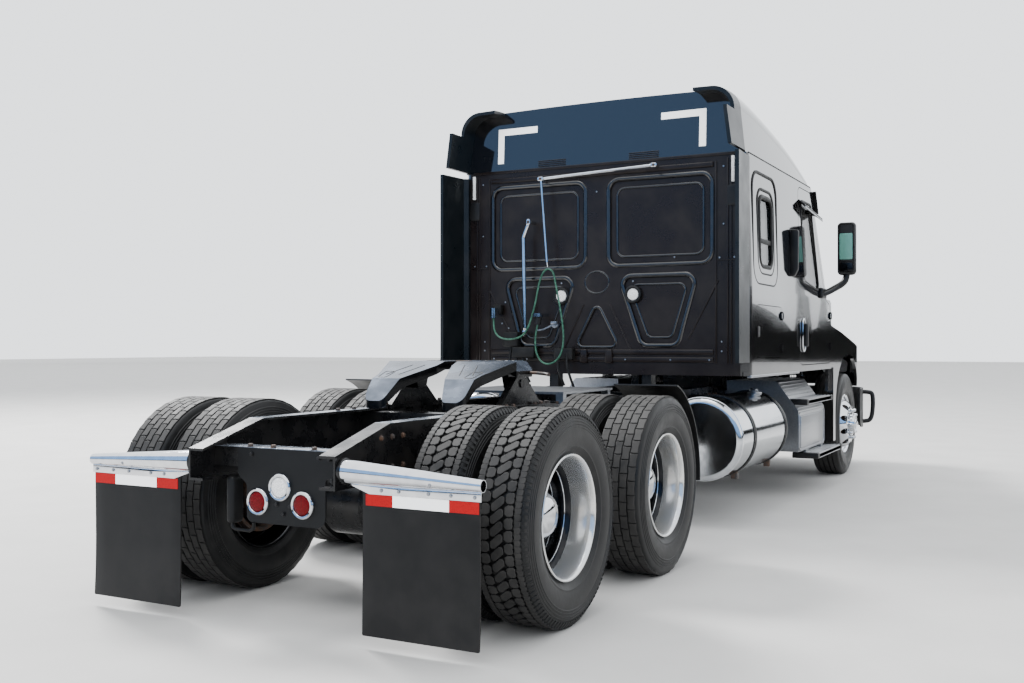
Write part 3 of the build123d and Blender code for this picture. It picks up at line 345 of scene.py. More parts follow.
def tyre_rubber(name, centre_x):
    """Dusty tread over dark sidewalls, by the distance from the wheel's axis, with painted shade darkening
    the grooves' bottoms.
    """
    rubber = Finish(name, IOR=1.45, Specular_IOR_Level=0.25)
    here = rubber.place((centre_x, 0, AXLE_Z), (1, 0, 1))
    radius = rubber.add("ShaderNodeVectorMath", {"operation": "LENGTH"}, here, output="Value")
    tread = rubber.ramp(radius, TYRE_R - 0.006, TYRE_R - 0.001)
    # Painted shade: the band of radius at the grooves' bottoms is darkened towards near black
    groove = rubber.ramp(radius, 0.485, 0.492) * (1 - tread)
    dust = rubber.noise(14, 6)
    wall = rubber.mix(rubber.ramp(dust, 0.35, 0.75), (0.008, 0.008, 0.0085), (0.019, 0.0185, 0.018))
    worn = rubber.mix(rubber.ramp(dust, 0.3, 0.7), (0.02, 0.0195, 0.019), (0.044, 0.042, 0.04))
    rubber.feed(
        Base_Color=rubber.mix(groove * 0.7, rubber.mix(tread, wall, worn), (0.005, 0.005, 0.005)),
        Roughness=rubber.ramp(dust, 0.3, 0.7) * 0.16 + tread * 0.22 + 0.34,
    )
    rubber.bump(rubber.noise(220, 3) * 0.6 + rubber.noise(40, 3), 0.0012, 0.5)


@fills()
def tyre_rubber_rear(name):
    tyre_rubber(name, REAR_X)


@fills()
def tyre_rubber_front(name):
    tyre_rubber(name, FRONT_X)


@fills()
def tyre_rubber_steer(name):
    tyre_rubber(name, STEER_X)


@fills()
def black_rubber(name):
    clouded(
        name, (11, 6), (0.4, 0.75), (0.007, 0.007, 0.007), (0.02, 0.019, 0.018), (0.3, 0.7, 0.2, 0.42),
        (180, 3, 0.0008, 0.5), IOR=1.45, Specular_IOR_Level=0.25,
    )


@fills()
def flap_rubber(name):
    rubber = Finish(name, IOR=1.45, Specular_IOR_Level=0.25)
    dust = rubber.noise(6, 7)
    dirt = rubber.ramp(dust, 0.4, 0.8) * 0.5 + rubber.ramp(rubber.axis("Z"), 0.35, 0.07) * dust * 0.6
    rubber.feed(
        Base_Color=rubber.mix(dirt, (0.0062, 0.006, 0.006), (0.026, 0.024, 0.022)),
        Roughness=rubber.ramp(dust, 0.3, 0.7) * 0.2 + 0.38,
    )
    rubber.bump(rubber.noise(3.5, 2) + rubber.noise(200, 2) * 0.03, 0.006, 0.4)


@fills()
def greased_steel(name):
    """Smeared steel where it faces up, its bluish greys a painted sky reflection; near black where it doesn't
    face up, a painted shade.
    """
    steel = Finish(name, Metallic=0.6, IOR=1.6)
    smear = steel.noise(7, 5, (1, 0.6, 1))
    # The top's bluish greys paint the sky's reflection into the smeared steel
    top = steel.mix(steel.ramp(smear, 0.3, 0.75), (0.045, 0.056, 0.076), (0.125, 0.150, 0.195))
    steel.feed(
        # Painted shade: every face that turns away from up goes near black
        Base_Color=steel.mix(steel.ramp(steel.facing("Z"), 0.2, 0.5), (0.003, 0.003, 0.0035), top),
        Roughness=steel.ramp(smear, 0.3, 0.75) * 0.16 + 0.17,
    )
    steel.bump(steel.noise(30, 4), 0.0016, 0.5)


@fills()
def plate_paint(name):
    clouded(
        name, (10, 6), (0.4, 0.8), (0.0035, 0.0035, 0.0037), (0.008, 0.0078, 0.0076), (0.3, 0.8, 0.2, 0.42),
        (160, 3, 0.0008, 0.4), IOR=1.5, Specular_IOR_Level=0.22,
    )


@fills()
def edge_paint(name):
    """Gloss paint seen end-on along the rails, with the sky's highlight painted into its colour as a pale
    bluish grey.
    """
    clouded(
        name, (14, 6, (1, 4, 1)), (0.35, 0.7), (0.10, 0.12, 0.15), (0.26, 0.29, 0.34), (0.3, 0.8, 0.18, 0.14),
        Metallic=0.55, IOR=1.6,
    )


@fills()
def bead_gloss(name):
    clouded(
        name, (12, 5), (0.4, 0.8), (0.0035, 0.003, 0.0035), (0.012, 0.010, 0.009), (0.3, 0.8, 0.12, 0.12),
        IOR=1.6, Specular_IOR_Level=0.6,
    )


@fills()
def extender_satin(name):
    clouded(
        name, (6, 5), (0.4, 0.8), (0.0045, 0.0065, 0.0080), (0.011, 0.013, 0.015), (0.3, 0.8, 0.14, 0.26),
        IOR=1.5, Specular_IOR_Level=0.3,
    )


@fills()
def barrel_metal(name):
    clouded(
        name, (5, 4), (0.35, 0.7), (0.72, 0.70, 0.66), (0.55, 0.58, 0.63), (0.3, 0.7, 0.08, 0.13),
        Metallic=0.76,
    )


# Dark gloss metal: painted shade on the drive wheels' polished discs and inner barrels, and a painted dark
# reflection on the convex mirror glass
@fills()
def disc_gloss(name):
    clouded(
        name, (9, 6), (0.4, 0.8), (0.010, 0.011, 0.013), (0.034, 0.033, 0.033), (0.3, 0.8, 0.14, 0.10),
        Metallic=0.9, IOR=1.5,
    )


@fills()
def drum_iron(name):
    clouded(
        name, (24, 6), (0.4, 0.7), (0.045, 0.04, 0.038), (0.13, 0.07, 0.04), (0.3, 0.7, 0.25, 0.5),
        (90, 4, 0.0015, 0.6), Metallic=0.4,
    )


@fills()
def black_plastic(name):
    plastic = clouded(
        name, (7, 5), (0.4, 0.8), (0.006, 0.006, 0.0066), (0.016, 0.0155, 0.0155), (0.3, 0.7, 0.15, 0.33),
        IOR=1.48, Specular_IOR_Level=0.3,
    )
    plastic.bump(plastic.cells(420), 0.0006, 0.4)


@fills()
def dark_glass(name):
    glass = Finish(name, IOR=1.52, Transmission_Weight=0.0, Coat_Weight=0.3, Coat_Roughness=0.02)
    film = glass.noise(4, 4)
    smudge = glass.ramp(film, 0.3, 0.8) * 0.05
    glass.feed(
        Base_Color=glass.mix(film, (0.006, 0.007, 0.008), (0.012, 0.013, 0.014)),
        Roughness=smudge + 0.02,
        Alpha=smudge + 0.55,
    )


# Painted reflection: a teal-green colour stands in for what the mirror shows
@fills()
def mirror_glass(name):
    glass = Finish(name, Metallic=0.25)
    film = glass.noise(30, 3)
    glass.feed(
        Base_Color=glass.mix(film, (0.10, 0.27, 0.22), (0.13, 0.32, 0.27)),
        Roughness=film * 0.1 + 0.30,
    )


def lens(name, dark, bright, prism_scale=160, gloss=0.35):
    """A moulded lamp lens with fine prisms."""
    plastic = Finish(name, IOR=1.5, Specular_IOR_Level=gloss, Coat_Weight=gloss / 3, Coat_Roughness=0.05)
    prisms = plastic.cells(prism_scale)
    plastic.feed(
        Base_Color=plastic.mix(plastic.ramp(prisms, 0.1, 0.7), dark, bright),
        Roughness=plastic.ramp(prisms, 0.0, 1.0) * 0.2 + 0.12,
    )
    plastic.bump(prisms, 0.002, 0.7)


@fills()
def clear_lens(name):
    lens(name, (0.55, 0.56, 0.57), (0.92, 0.93, 0.94))


@fills()
def red_lens(name):
    lens(name, (0.035, 0.0, 0.0005), (0.15, 0.0, 0.002), 220, 0.12)


@fills()
def amber_lens(name):
    lens(name, (0.6, 0.16, 0.01), (0.85, 0.32, 0.03), 220)


def tape(name, dark, bright, glow):
    """Retroreflective tape with its sealed cells, and a painted glow: it emits its bright colour though it is
    no lamp.
    """
    film = Finish(
        name, IOR=1.5, Specular_IOR_Level=0.15, Emission_Color=(*bright, 1), Emission_Strength=glow,
    )
    cells = film.cells(150)
    film.feed(
        Base_Color=film.mix(film.ramp(cells, 0.05, 0.45), dark, bright),
        Roughness=film.ramp(cells, 0.0, 0.6) * 0.15 + 0.3,
    )
    film.bump(cells, 0.0006, 0.4)


@fills()
def white_tape(name):
    # A strong painted glow on the white tape
    tape(name, (0.78, 0.79, 0.81), (0.93, 0.94, 0.95), 0.7)


@fills()
def red_tape(name):
    # A faint painted glow on the red tape
    tape(name, (0.24, 0.0, 0.001), (0.38, 0.0, 0.002), 0.06)


@fills()
def cable_jacket(name):
    colour = tuple(settings().paint.cable)
    scuffed = tuple(min(1, c * 2.1 + 0.03) for c in colour)
    clouded(name, (40, 5), (0.4, 0.7), colour, scuffed, (0.3, 0.7, 0.2, 0.35), (300, 2, 0.0005, 0.4), IOR=1.5)


@fills()
def seat_cloth(name):
    cloth = Finish(name, Roughness=0.9, Sheen_Weight=0.25, Sheen_Roughness=0.4)
    weave = cloth.cells(900, (1, 1, 0.5))
    shade = cloth.noise(8, 4)
    cloth.feed(
        Base_Color=cloth.mix(shade * weave, (0.05, 0.048, 0.046), (0.16, 0.15, 0.14)),
        Roughness=cloth.ramp(shade, 0, 1) * 0.1 + 0.82,
    )
    cloth.bump(weave, 0.0012, 0.6)


@fills()
def horizon_dark(name):
    dark = Finish(name, Roughness=1.0, Specular_IOR_Level=0.0)
    dark.feed(Base_Color=dark.mix(dark.noise(0.5, 6), (0.002, 0.0025, 0.0025), (0.012, 0.012, 0.011)))


@fills()
def rear_sky(name):
    sky = Finish(
        name, Roughness=1.0, Specular_IOR_Level=0.0, Emission_Color=(0.31, 0.56, 1.0, 1),
        Emission_Strength=1.3,
    )
    sky.feed(Base_Color=sky.mix(sky.noise(0.1, 3), (0.0, 0.0, 0.0), (0.02, 0.02, 0.02)))


@fills()
def pale_floor(name):
    clouded(
        name, (1.6, 8), (0.3, 0.75), (0.46, 0.452, 0.44), (0.52, 0.511, 0.498), (0.2, 0.8, 0.1, 0.8), IOR=1.4,
    )


# Making pieces with Blender's own tools


def deselect():
    bpy.ops.object.select_all(action="DESELECT")


def activate(*pieces):
    """Selects these pieces alone; the first is the active one."""
    deselect()
    for piece in pieces:
        piece.select_set(True)
    bpy.context.view_layer.objects.active = pieces[0]


def named(name):
    piece = bpy.context.object
    piece.name = name
    piece.data.name = name
    return piece


def settle(piece):
    """Puts the piece's place, turn and size into its mesh."""
    activate(piece)
    bpy.ops.object.transform_apply(location=True, rotation=True, scale=True)
    return piece


def modified(piece, kind, **options):
    """Adds a modifier and applies it."""
    activate(piece)
    modifier = piece.modifiers.new(kind.title(), kind)
    for key, value in options.items():
        setattr(modifier, key, value)
    bpy.ops.object.modifier_apply(modifier=modifier.name)
    return piece


def smooth(piece, degrees=35):
    activate(piece)
    bpy.ops.object.shade_smooth_by_angle(angle=math.radians(degrees))
    return piece


def cuboid(name, low, high, edge=0.002, steps=2):
    """A box between two corners with rounded edges."""
    low, high = Vector(low), Vector(high)
    deselect()
    bpy.ops.mesh.primitive_cube_add(size=1, location=(low + high) / 2)
    piece = named(name)
    piece.scale = high - low
    settle(piece)
    if edge:
        modified(piece, "BEVEL", width=edge, segments=steps, limit_method="ANGLE")
    return smooth(piece)


AXES = {
    "X": Matrix(((0, 0, 1), (1, 0, 0), (0, 1, 0))).to_4x4(),
    "Y": Matrix(((1, 0, 0), (0, 0, -1), (0, 1, 0))).to_4x4(),
    "Z": Matrix.Identity(4),
}


def rounded(points, radius, steps=5):
    """A closed outline with every corner rounded to a radius, or to its own third number."""
    found = []
    for index, corner in enumerate(points):
        here = Vector(corner[:2])
        back = (Vector(points[index - 1][:2]) - here).normalized()
        on = (Vector(points[(index + 1) % len(points)][:2]) - here).normalized()
        r = corner[2] if len(corner) > 2 else radius
        half = back.angle(on) / 2
        if r <= 0 or half > 1.5:
            found.append(here)
            continue
        reach = r / math.tan(half)
        centre = here + (back + on).normalized() * (r / math.sin(half))
        start, end = here + back * reach - centre, here + on * reach - centre
        turn = start.angle_signed(end)
        for step in range(steps + 1):
            angle = -turn * step / steps
            found.append(centre + Matrix.Rotation(angle, 2) @ start)
    return found


def rectangle(u0, v0, u1, v1):
    """An upright rectangle's corners in order."""
    return [(u0, v0), (u1, v0), (u1, v1), (u0, v1)]


def flat_curve(name, points, depth, edge):
    """A filled outline with a thickness and rounded edges."""
    curve = bpy.data.curves.new(name, "CURVE")
    curve.dimensions = "2D"
    curve.fill_mode = "BOTH"
    curve.extrude = max(0.0, depth / 2 - edge)
    curve.bevel_depth = edge
    curve.bevel_resolution = 1
    curve.offset = -edge
    spline = curve.splines.new("POLY")
    spline.points.add(len(points) - 1)
    for point, (u, v) in zip(spline.points, points):
        point.co = (u, v, 0, 1)
    spline.use_cyclic_u = True
    return curve


def made_mesh(name, curve, matrix):
    """A curve made a mesh and put in its place."""
    piece = bpy.data.objects.new(name, curve)
    bpy.context.scene.collection.objects.link(piece)
    activate(piece)
    bpy.ops.object.convert(target="MESH")
    piece = bpy.context.object
    piece.data.transform(matrix)
    if matrix.determinant() < 0:
        piece.data.flip_normals()
    modified(piece, "WELD", merge_threshold=0.00002)
    return piece


def plate(name, points, axis, low, high, edge=0.002):
    """A flat form drawn along an axis. Points are the other two axes in their order."""
    matrix = AXES[axis].copy()
    middle = (low + high) / 2
    matrix.translation = Vector([middle if letter == axis else 0 for letter in "XYZ"])
    edge = min(edge, abs(high - low) / 2 * 0.95)
    return smooth(made_mesh(name, flat_curve(name, points, abs(high - low), edge), matrix))


def tube(name, points, radius, closed=False, sides=3, kind="POLY"):
    """A round bar along points."""
    curve = bpy.data.curves.new(name, "CURVE")
    curve.dimensions = "3D"
    curve.bevel_depth = radius
    curve.bevel_resolution = sides
    curve.use_fill_caps = not closed
    spline = curve.splines.new(kind)
    spline.points.add(len(points) - 1)
    for point, place in zip(spline.points, points):
        point.co = (*place, 1)
    spline.use_cyclic_u = closed
    if kind == "NURBS":
        spline.order_u = 3
        spline.use_endpoint_u = not closed
        spline.resolution_u = 6
    piece = made_mesh(name, curve, Matrix.Identity(4))
    return smooth(piece, 50)


def lathe(name, profile, centre=(0, 0, 0), axis="Y", steps=96):
    """A ring drawn on and resized from point to point. Profile is radius and distance along the axis."""
    turn = {"X": (0, math.pi / 2, 0), "Y": (-math.pi / 2, 0, 0), "Z": (0, 0, 0)}[axis]
    along = Vector([1 if letter == axis else 0 for letter in "XYZ"])
    centre = Vector(centre)
    least = 0.0002
    (r0, u0), *rest = [(max(r, least), u) for r, u in profile]
    deselect()
    bpy.ops.mesh.primitive_circle_add(vertices=steps, radius=r0, location=centre + along * u0, rotation=turn)
    piece = named(name)
    settle(piece)
    bpy.ops.object.mode_set(mode="EDIT")
    bpy.ops.mesh.select_mode(type="VERT")
    bpy.ops.mesh.select_all(action="SELECT")
    r, u = r0, u0
    for r_next, u_next in rest:
        bpy.ops.mesh.extrude_region_move(TRANSFORM_OT_translate={"value": along * (u_next - u)})
        share = r_next / r
        value = [1 if letter == axis else share for letter in "XYZ"]
        bpy.ops.transform.resize(value=value, center_override=centre + along * u_next)
        r, u = r_next, u_next
    bpy.ops.mesh.select_all(action="SELECT")
    bpy.ops.mesh.remove_doubles(threshold=0.00045)
    bpy.ops.mesh.normals_make_consistent(inside=False)
    bpy.ops.object.mode_set(mode="OBJECT")
    return smooth(piece)


def copied(piece, name, matrix):
    """A copy with its own mesh, put in place by a matrix."""
    other = piece.copy()
    other.data = piece.data.copy()
    other.name = name
    other.data.name = name
    other.data.transform(matrix)
    if matrix.determinant() < 0:
        other.data.flip_normals()
    bpy.context.scene.collection.objects.link(other)
    return other


def joined(name, pieces):
    """Several pieces as one."""
    activate(*pieces)
    if len(pieces) > 1:
        bpy.ops.object.join()
    return named(name)


def repeated(piece, name, matrices):
    """The piece, repeated by matrices, as one."""
    copies = [copied(piece, name, matrix) for matrix in matrices]
    removed(piece)
    return joined(name, copies)


def removed(*pieces):
    for piece in pieces:
        bpy.data.objects.remove(piece)


def squeezed(scale, centre):
    """A change of size along each axis about a centre."""
    shift = Matrix.Translation(centre)
    return shift @ Matrix.Diagonal((*scale, 1)) @ shift.inverted()


def half_turn(side):
    """No turn for the left side, half a turn about Z for the right."""
    return Matrix.Rotation(0 if side > 0 else math.pi, 4, "Z")


def finished(piece, material, body="chassis", replaces=()):
    """Gives a piece its finish and the body that it rides on."""
    piece.data.materials.clear()
    piece.data.materials.append(finish(material))
    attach(piece, body)
    if replaces:
        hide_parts(*replaces)
    return piece


def both_sides(piece, name):
    """The left-hand piece and its mirror image, as a pair."""
    other = copied(piece, name, Matrix.Scale(-1, 4, (0, 1, 0)))
    return [piece, other]


def mirrored_joined(name, pieces):
    """Left-hand pieces and their mirror images as one."""
    return joined(name, [half for piece in pieces for half in both_sides(piece, name)])


def sided(seed, name, material, body, stands_for=None):
    """A left-hand seed and its mirror image, each on its side's body and in place of its side's node."""
    for side, word in SIDES:
        piece = copied(seed, f"{name}_{word}", Matrix.Scale(side, 4, (0, 1, 0)))
        finished(piece, material, f"{body}_{word}", [f"{stands_for}_{word}"] if stands_for else ())
    removed(seed)


def bolts(name, places, axis, radius=0.012, height=0.009):
    """Hexagon bolt heads with washers at places, standing out along a signed axis."""
    sign, letter = -1 if axis.startswith("-") else 1, axis[-1]
    foot, top = sign * 0.002, sign * height
    washer = [(0, 0), (radius * 1.35, 0), (radius * 1.35, foot), (0, foot)]
    head = [(0, foot), (radius, foot), (radius, top), (radius * 0.8, top * 1.2), (0, top * 1.2)]
    seed = joined(name, [lathe(name, washer, axis=letter, steps=12), lathe(name, head, axis=letter, steps=6)])
    return repeated(seed, name, [Matrix.Translation(Vector(place)) for place in places])


# Pieces, one operator for each group


class MakeStage(bpy.types.Operator):
    """Pale floor, soft light and the camera at the photograph's place"""

    bl_idname = "tractor.stage"
    bl_label = "Stage"

    CAMERA_PLACE = (-8.187, -3.312, 1.321)
    CAMERA_YAW = 27.93
    CAMERA_PITCH = 0.1475
    # What only gloss and polish show: a far tree line all round, and deep blue sky high behind the camera
    TREES_R = 74.0
    SKY_R = 78.0
    SKY_TOP = 46.0
    # Each lamp's name, place, aim, size and power
    LAMPS = (
        ("key", (3, 13, 14), (-1, 0, 1), (5, 5), 7800),
        ("top", (-2, 0, 15), (-2, 0, 0), (10, 6), 900),
    )

    def backdrop(self, name, radius, height_at, steps):
        """An open wall round the floor, as high as height_at says for each angle."""
        deselect()
        bpy.ops.mesh.primitive_cylinder_add(
            vertices=steps, radius=radius, depth=1, location=(0, 0, 0.5), end_fill_type="NOTHING",
        )
        wall = settle(named(name))
        for vertex in wall.data.vertices:
            if vertex.co.z > 0.5:
                vertex.co.z = max(0.02, height_at(math.degrees(math.atan2(vertex.co.y, vertex.co.x)) % 360))
        wall.data.materials.append(finish("horizon_dark" if name == "tree_line" else "rear_sky"))
        for ray in ("camera", "diffuse", "shadow", "transmission"):
            setattr(wall, f"visible_{ray}", False)

    def trees(self):
        """The height of the tree line at an angle: low sheds and rounded crowns, with some pointed trees."""
        def drawn(count, half, height):
            """Each tree's angle, and its half width and height from their spans."""
            spans = ((0, 360), half, height)
            return [[random.uniform(*span) for span in spans] for _ in range(count)]

        random.seed(8)
        crowns = drawn(150, (1.5, 5), (3.0, 6.4))
        spires = drawn(110, (0.25, 0.6), (7, 11))
        spires += [(346.5, 0.55, 10.5), (347.6, 0.35, 8.0), (349.4, 0.4, 8.6)]

        def height_at(angle):
            top = 2.4 + 0.5 * math.sin(math.radians(angle * 13)) + 0.3 * math.sin(math.radians(angle * 37))
            for centre, half, height in crowns:
                away = abs((angle - centre + 180) % 360 - 180) / half
                if away < 1:
                    top = max(top, height * math.sqrt(1 - away * away))
            for centre, half, height in spires:
                away = abs((angle - centre + 180) % 360 - 180) / half
                if away < 1:
                    top = max(top, height * (1 - away) * (1 + 0.12 * math.sin(60 * away)))
            return top

        return height_at

    def rear_height(self, angle):
        """The blue sky's height: full behind the camera, falling away to either side."""
        away = abs(angle - 180)
        return self.SKY_TOP * max(0.0, min(1.0, (100 - away) / 35)) ** 0.7

    def execute(self, context):
        sizes = settings().stage
        deselect()
        bpy.ops.mesh.primitive_plane_add(size=sizes.floor, location=(0, 0, 0))
        floor = named("floor")
        floor.data.materials.append(finish("pale_floor"))
        bpy.ops.object.camera_add(location=self.CAMERA_PLACE)
        camera = context.object
        yaw, pitch = math.radians(self.CAMERA_YAW), math.radians(self.CAMERA_PITCH)
        way = Vector((math.cos(yaw) * math.cos(pitch), math.sin(yaw) * math.cos(pitch), math.sin(pitch)))
        camera.rotation_euler = way.to_track_quat("-Z", "Y").to_euler()
        camera.data.lens = sizes.lens
        camera.data.sensor_width = 36
        camera.data.clip_end = 500
        context.scene.camera = camera
        world = bpy.data.worlds.new("pale_sky")
        world.use_nodes = True
        sky = world.node_tree.nodes["Background"]
        sky.inputs["Color"].default_value = (0.93, 0.965, 1.0, 1)
        sky.inputs["Strength"].default_value = sizes.sky
        context.scene.world = world
        self.backdrop("tree_line", self.TREES_R, self.trees(), 2880)
        self.backdrop("rear_sky", self.SKY_R, self.rear_height, 180)
        for name, place, aim, size, power in self.LAMPS:
            bpy.ops.object.light_add(type="AREA", location=place)
            lamp = context.object
            lamp.name = name
            lamp.data.shape = "RECTANGLE"
            lamp.data.size, lamp.data.size_y = size
            lamp.data.energy = power
            lamp.rotation_euler = (Vector(aim) - Vector(place)).to_track_quat("-Z", "Y").to_euler()
        return {"FINISHED"}


class MakeCable(bpy.types.Operator):
    """The supply cable, hung over its clip"""

    bl_idname = "tractor.cable"
    bl_label = "Supply cable"

    CABLE_R = 0.007
    CABLE_X = WALL_X - 0.112
    # Route points: Y, Z and how far each lies behind the socket's X
    ROUTE = [
        (0.850, 1.530, 0.000), (0.850, 1.468, 0.000), (0.832, 1.414, 0.008), (0.790, 1.376, 0.016),
        (0.715, 1.358, 0.020), (0.630, 1.366, 0.024), (0.568, 1.392, 0.026), (0.522, 1.460, 0.022),
        (0.497, 1.545, 0.014), (0.472, 1.640, 0.008), (0.455, 1.730, 0.004), (0.440, 1.805, 0.000),
        (0.420, 1.862, 0.000), (0.398, 1.894, 0.000), (0.368, 1.910, 0.000), (0.337, 1.901, 0.000),
        (0.316, 1.870, 0.000), (0.303, 1.815, 0.002), (0.287, 1.745, 0.006), (0.268, 1.665, 0.010),
        (0.248, 1.565, 0.014), (0.228, 1.455, 0.016), (0.222, 1.345, 0.016), (0.244, 1.245, 0.014),
        (0.300, 1.182, 0.010), (0.368, 1.162, 0.008), (0.432, 1.190, 0.006), (0.470, 1.262, 0.002),
        (0.477, 1.345, 0.000), (0.470, 1.415, 0.000), (0.455, 1.476, 0.000),
    ]
    LENGTH = 2.187

    def execute(self, context):
        curve = bpy.data.curves.new("cable_line", "CURVE")
        curve.dimensions = "3D"
        curve.bevel_depth = self.CABLE_R
        curve.bevel_resolution = 4
        curve.resolution_u = 8
        curve.use_fill_caps = True
        spline = curve.splines.new("NURBS")
        spline.points.add(len(self.ROUTE) - 1)
        for point, (y, z, behind) in zip(spline.points, self.ROUTE):
            point.co = (self.CABLE_X - behind, y, z, 1)
        spline.order_u = 3
        spline.use_endpoint_u = True
        cable = bpy.data.objects.new("green_cable", curve)
        context.scene.collection.objects.link(cable)
        finished(cable, "cable_jacket", replaces=["supply_cable"])
        y, z, behind = self.ROUTE[0]
        return {"FINISHED"}


class MakeTyres(bpy.types.Operator):
    """Ten tyres: lugs at the rear right, worn blocks on the other drive wheels, ribs in front"""

    bl_idname = "tractor.tyres"
    bl_label = "Tyres"

    # The inside of every tyre and its outer side wall, as radius and distance from its middle
    BORE = [(0.2865, -0.06), (0.2865, 0.06)]
    WALL = [
        (0.2865, 0.102), (0.299, 0.1065), (0.303, 0.1095), (0.309, 0.1105), (0.316, 0.117), (0.330, 0.1272),
        (0.333, 0.1292), (0.338, 0.1288), (0.345, 0.1315), (0.370, 0.1385), (0.405, 0.1412), (0.420, 0.1403),
        (0.4220, 0.1420), (0.4260, 0.1420), (0.4280, 0.1392), (0.4340, 0.1386), (0.4360, 0.1410),
        (0.4400, 0.1406), (0.4420, 0.1376), (0.4480, 0.1366), (0.4500, 0.1390), (0.4540, 0.1384),
        (0.4560, 0.1350), (0.4620, 0.1338), (0.4640, 0.1362), (0.4680, 0.1354), (0.4700, 0.1322),
        (0.484, 0.1290),
    ]
    # The lug tread: grooves between lugs, and the middle row's lean in degrees and half width
    GROOVE = 0.0056
    LEAN = 50
    MIDDLE_HALF = 0.031
    SUNK = 0.003
    # The worn tread: blocks round the tyre, and each row's place across, half width and start in pitches
    BLOCK_PITCHES = 42
    BLOCK_DEPTH = 0.007
    BLOCK_ROWS = (
        (0.094, 0.0215, 0.0), (0.0465, 0.0215, 0.5), (0.0, 0.0205, 0.12), (-0.0465, 0.0215, 0.6),
        (-0.094, 0.0215, 0.1),
    )
    BEVEL = 0.0022
    INNER_SPIN = 0.03

    def carcass(self, name, tread):
        """A tyre's closed section turned about its axis, at the origin. Tread is its tread's left half."""
        half = self.WALL + tread
        return lathe(name, half + [(r, -u) for r, u in reversed(half)] + self.BORE + half[:1])

    def block(self, name, points, top, height):
        """One tread block: X round the tyre and Y across it, drawn up and narrowed at its top."""
        block = plate(name, points, "Z", top - height, top, 0)
        activate(block)
        bpy.ops.object.mode_set(mode="EDIT")
        bpy.ops.mesh.select_all(action="DESELECT")
        bpy.ops.object.mode_set(mode="OBJECT")
        for face in block.data.polygons:
            face.select = face.normal.z > 0.9
        bpy.ops.object.mode_set(mode="EDIT")
        bpy.ops.mesh.select_mode(type="FACE")
        bpy.ops.mesh.inset(thickness=self.BEVEL, depth=self.BEVEL * 0.8)
        bpy.ops.object.mode_set(mode="OBJECT")
        block.data.transform(Matrix.Translation((0, 0, -self.BEVEL * 0.8)))
        return block

    def ring(self, name, block, count, start=0.0):
        """A block repeated round the tyre."""
        return repeated(block, name, [
            Matrix.Rotation(2 * math.pi * (index + start) / count, 4, "Y") for index in range(count)
        ])

    def lug_tyre(self):
        """Close-set lugs in three rows between saw-toothed shoulders with fine ribs down them."""
        sizes = settings().tyre
        pitches, height = sizes.pitch_count, sizes.groove_depth + self.SUNK
        base = TYRE_R - sizes.groove_depth
        pieces = [self.carcass("lug_carcass", [
            (0.4925, 0.1255), (0.5010, 0.1180), (0.5035, 0.1130), (0.5035, 0.0850), (base + 0.002, 0.0830),
            (base, 0.0815),
        ])]
        half, groove = math.pi * TYRE_R / pitches, self.GROOVE / 2
        # The middle lugs lean along the tread, so neighbours pass each other with one groove between
        reach, lean = half + 0.0055, math.radians(self.LEAN)
        thick = (half * math.sin(lean) - groove) / math.cos(lean)
        edge, rise = self.MIDDLE_HALF, reach * math.tan(lean)
        start = (edge - thick) / math.tan(lean)
        middle = [
            (-reach, rise - thick), (start, -edge), (reach - 0.008, -edge), (reach, 0.008 - edge),
            (reach, thick - rise), (-start, edge), (0.008 - reach, edge), (-reach, edge - 0.008),
        ][::-1]
        pieces.append(self.ring("lug_middle", self.block("lug", middle, TYRE_R, height), pitches, 0.5))
        low, high, end, cut = edge + self.GROOVE, 0.0795, half - groove, 0.0105
        lug = [
            (-end, low + cut * 1.6), (-end + cut, low), (end - cut, low), (end, low + cut),
            (end + 0.002, (low + high) / 2), (end, high - cut * 0.7), (end - cut * 0.7, high), (0.004, high),
            (0.001, high - 0.0035), (-0.004, high), (-end + cut * 0.7, high), (-end, high - cut * 0.7),
            (-end + 0.002, (low + high) / 2),
        ]
        tooth = half / 2
        shoulder = [
            (-tooth, 0.0835), (-tooth * 0.3, 0.0845), (tooth * 0.3, 0.0872), (tooth, 0.0835), (tooth, 0.1105),
            (tooth * 0.35, 0.1165), (-tooth * 0.75, 0.1165), (-tooth, 0.1105),
        ]
        for name, outline, top, thickness, count in (
            ("lug_side", lug, TYRE_R, height, pitches),
            ("shoulder", shoulder, TYRE_R - 0.0012, 0.012, 2 * pitches),
        ):
            for side, _ in SIDES:
                block = self.block(name, [(side * x, side * y) for x, y in outline], top, thickness)
                pieces.append(self.ring(name, block, count))
        return joined("lug_tyre", pieces + self.shoulder_ribs(sizes.shoulder_count))

    def shoulder_ribs(self, count):
        """Small ribs down both shoulders."""
        found = []
        for side, _ in SIDES:
            rib = cuboid("rib", (-0.0072, -0.003, -0.016), (0.0072, 0.003, 0.016), 0.0012, 1)
            lean = Matrix.Rotation(side * math.radians(37), 4, "X")
            rib.data.transform(Matrix.Translation((0, side * 0.1262, 0.4895)) @ lean)
            found.append(self.ring("shoulder_rib", rib, count))
        return found

    def block_tyre(self):
        """Closely set worn blocks in five rows."""
        base = TYRE_R - self.BLOCK_DEPTH
        tread = [(0.4925, 0.1262), (0.5000, 0.1215), (base - 0.001, 0.1150), (base, 0.1100)]
        pieces = [self.carcass("block_carcass", tread)]
        half, shift = math.pi * TYRE_R / self.BLOCK_PITCHES - 0.0026, 0.005
        for row, (y, across, start) in enumerate(self.BLOCK_ROWS):
            low, high = y - across, y + across
            outline = [
                (-half, low), (-half * 0.1, low + shift * 0.6), (half, low), (half + shift * 0.5, y),
                (half, high), (half * 0.1, high - shift * 0.6), (-half, high), (-half + shift * 0.5, y),
            ]
            block = self.block("block", outline, TYRE_R, self.BLOCK_DEPTH + self.SUNK)
            pieces.append(self.ring(f"block_{row}", block, self.BLOCK_PITCHES, start))
        return joined("block_tyre", pieces)

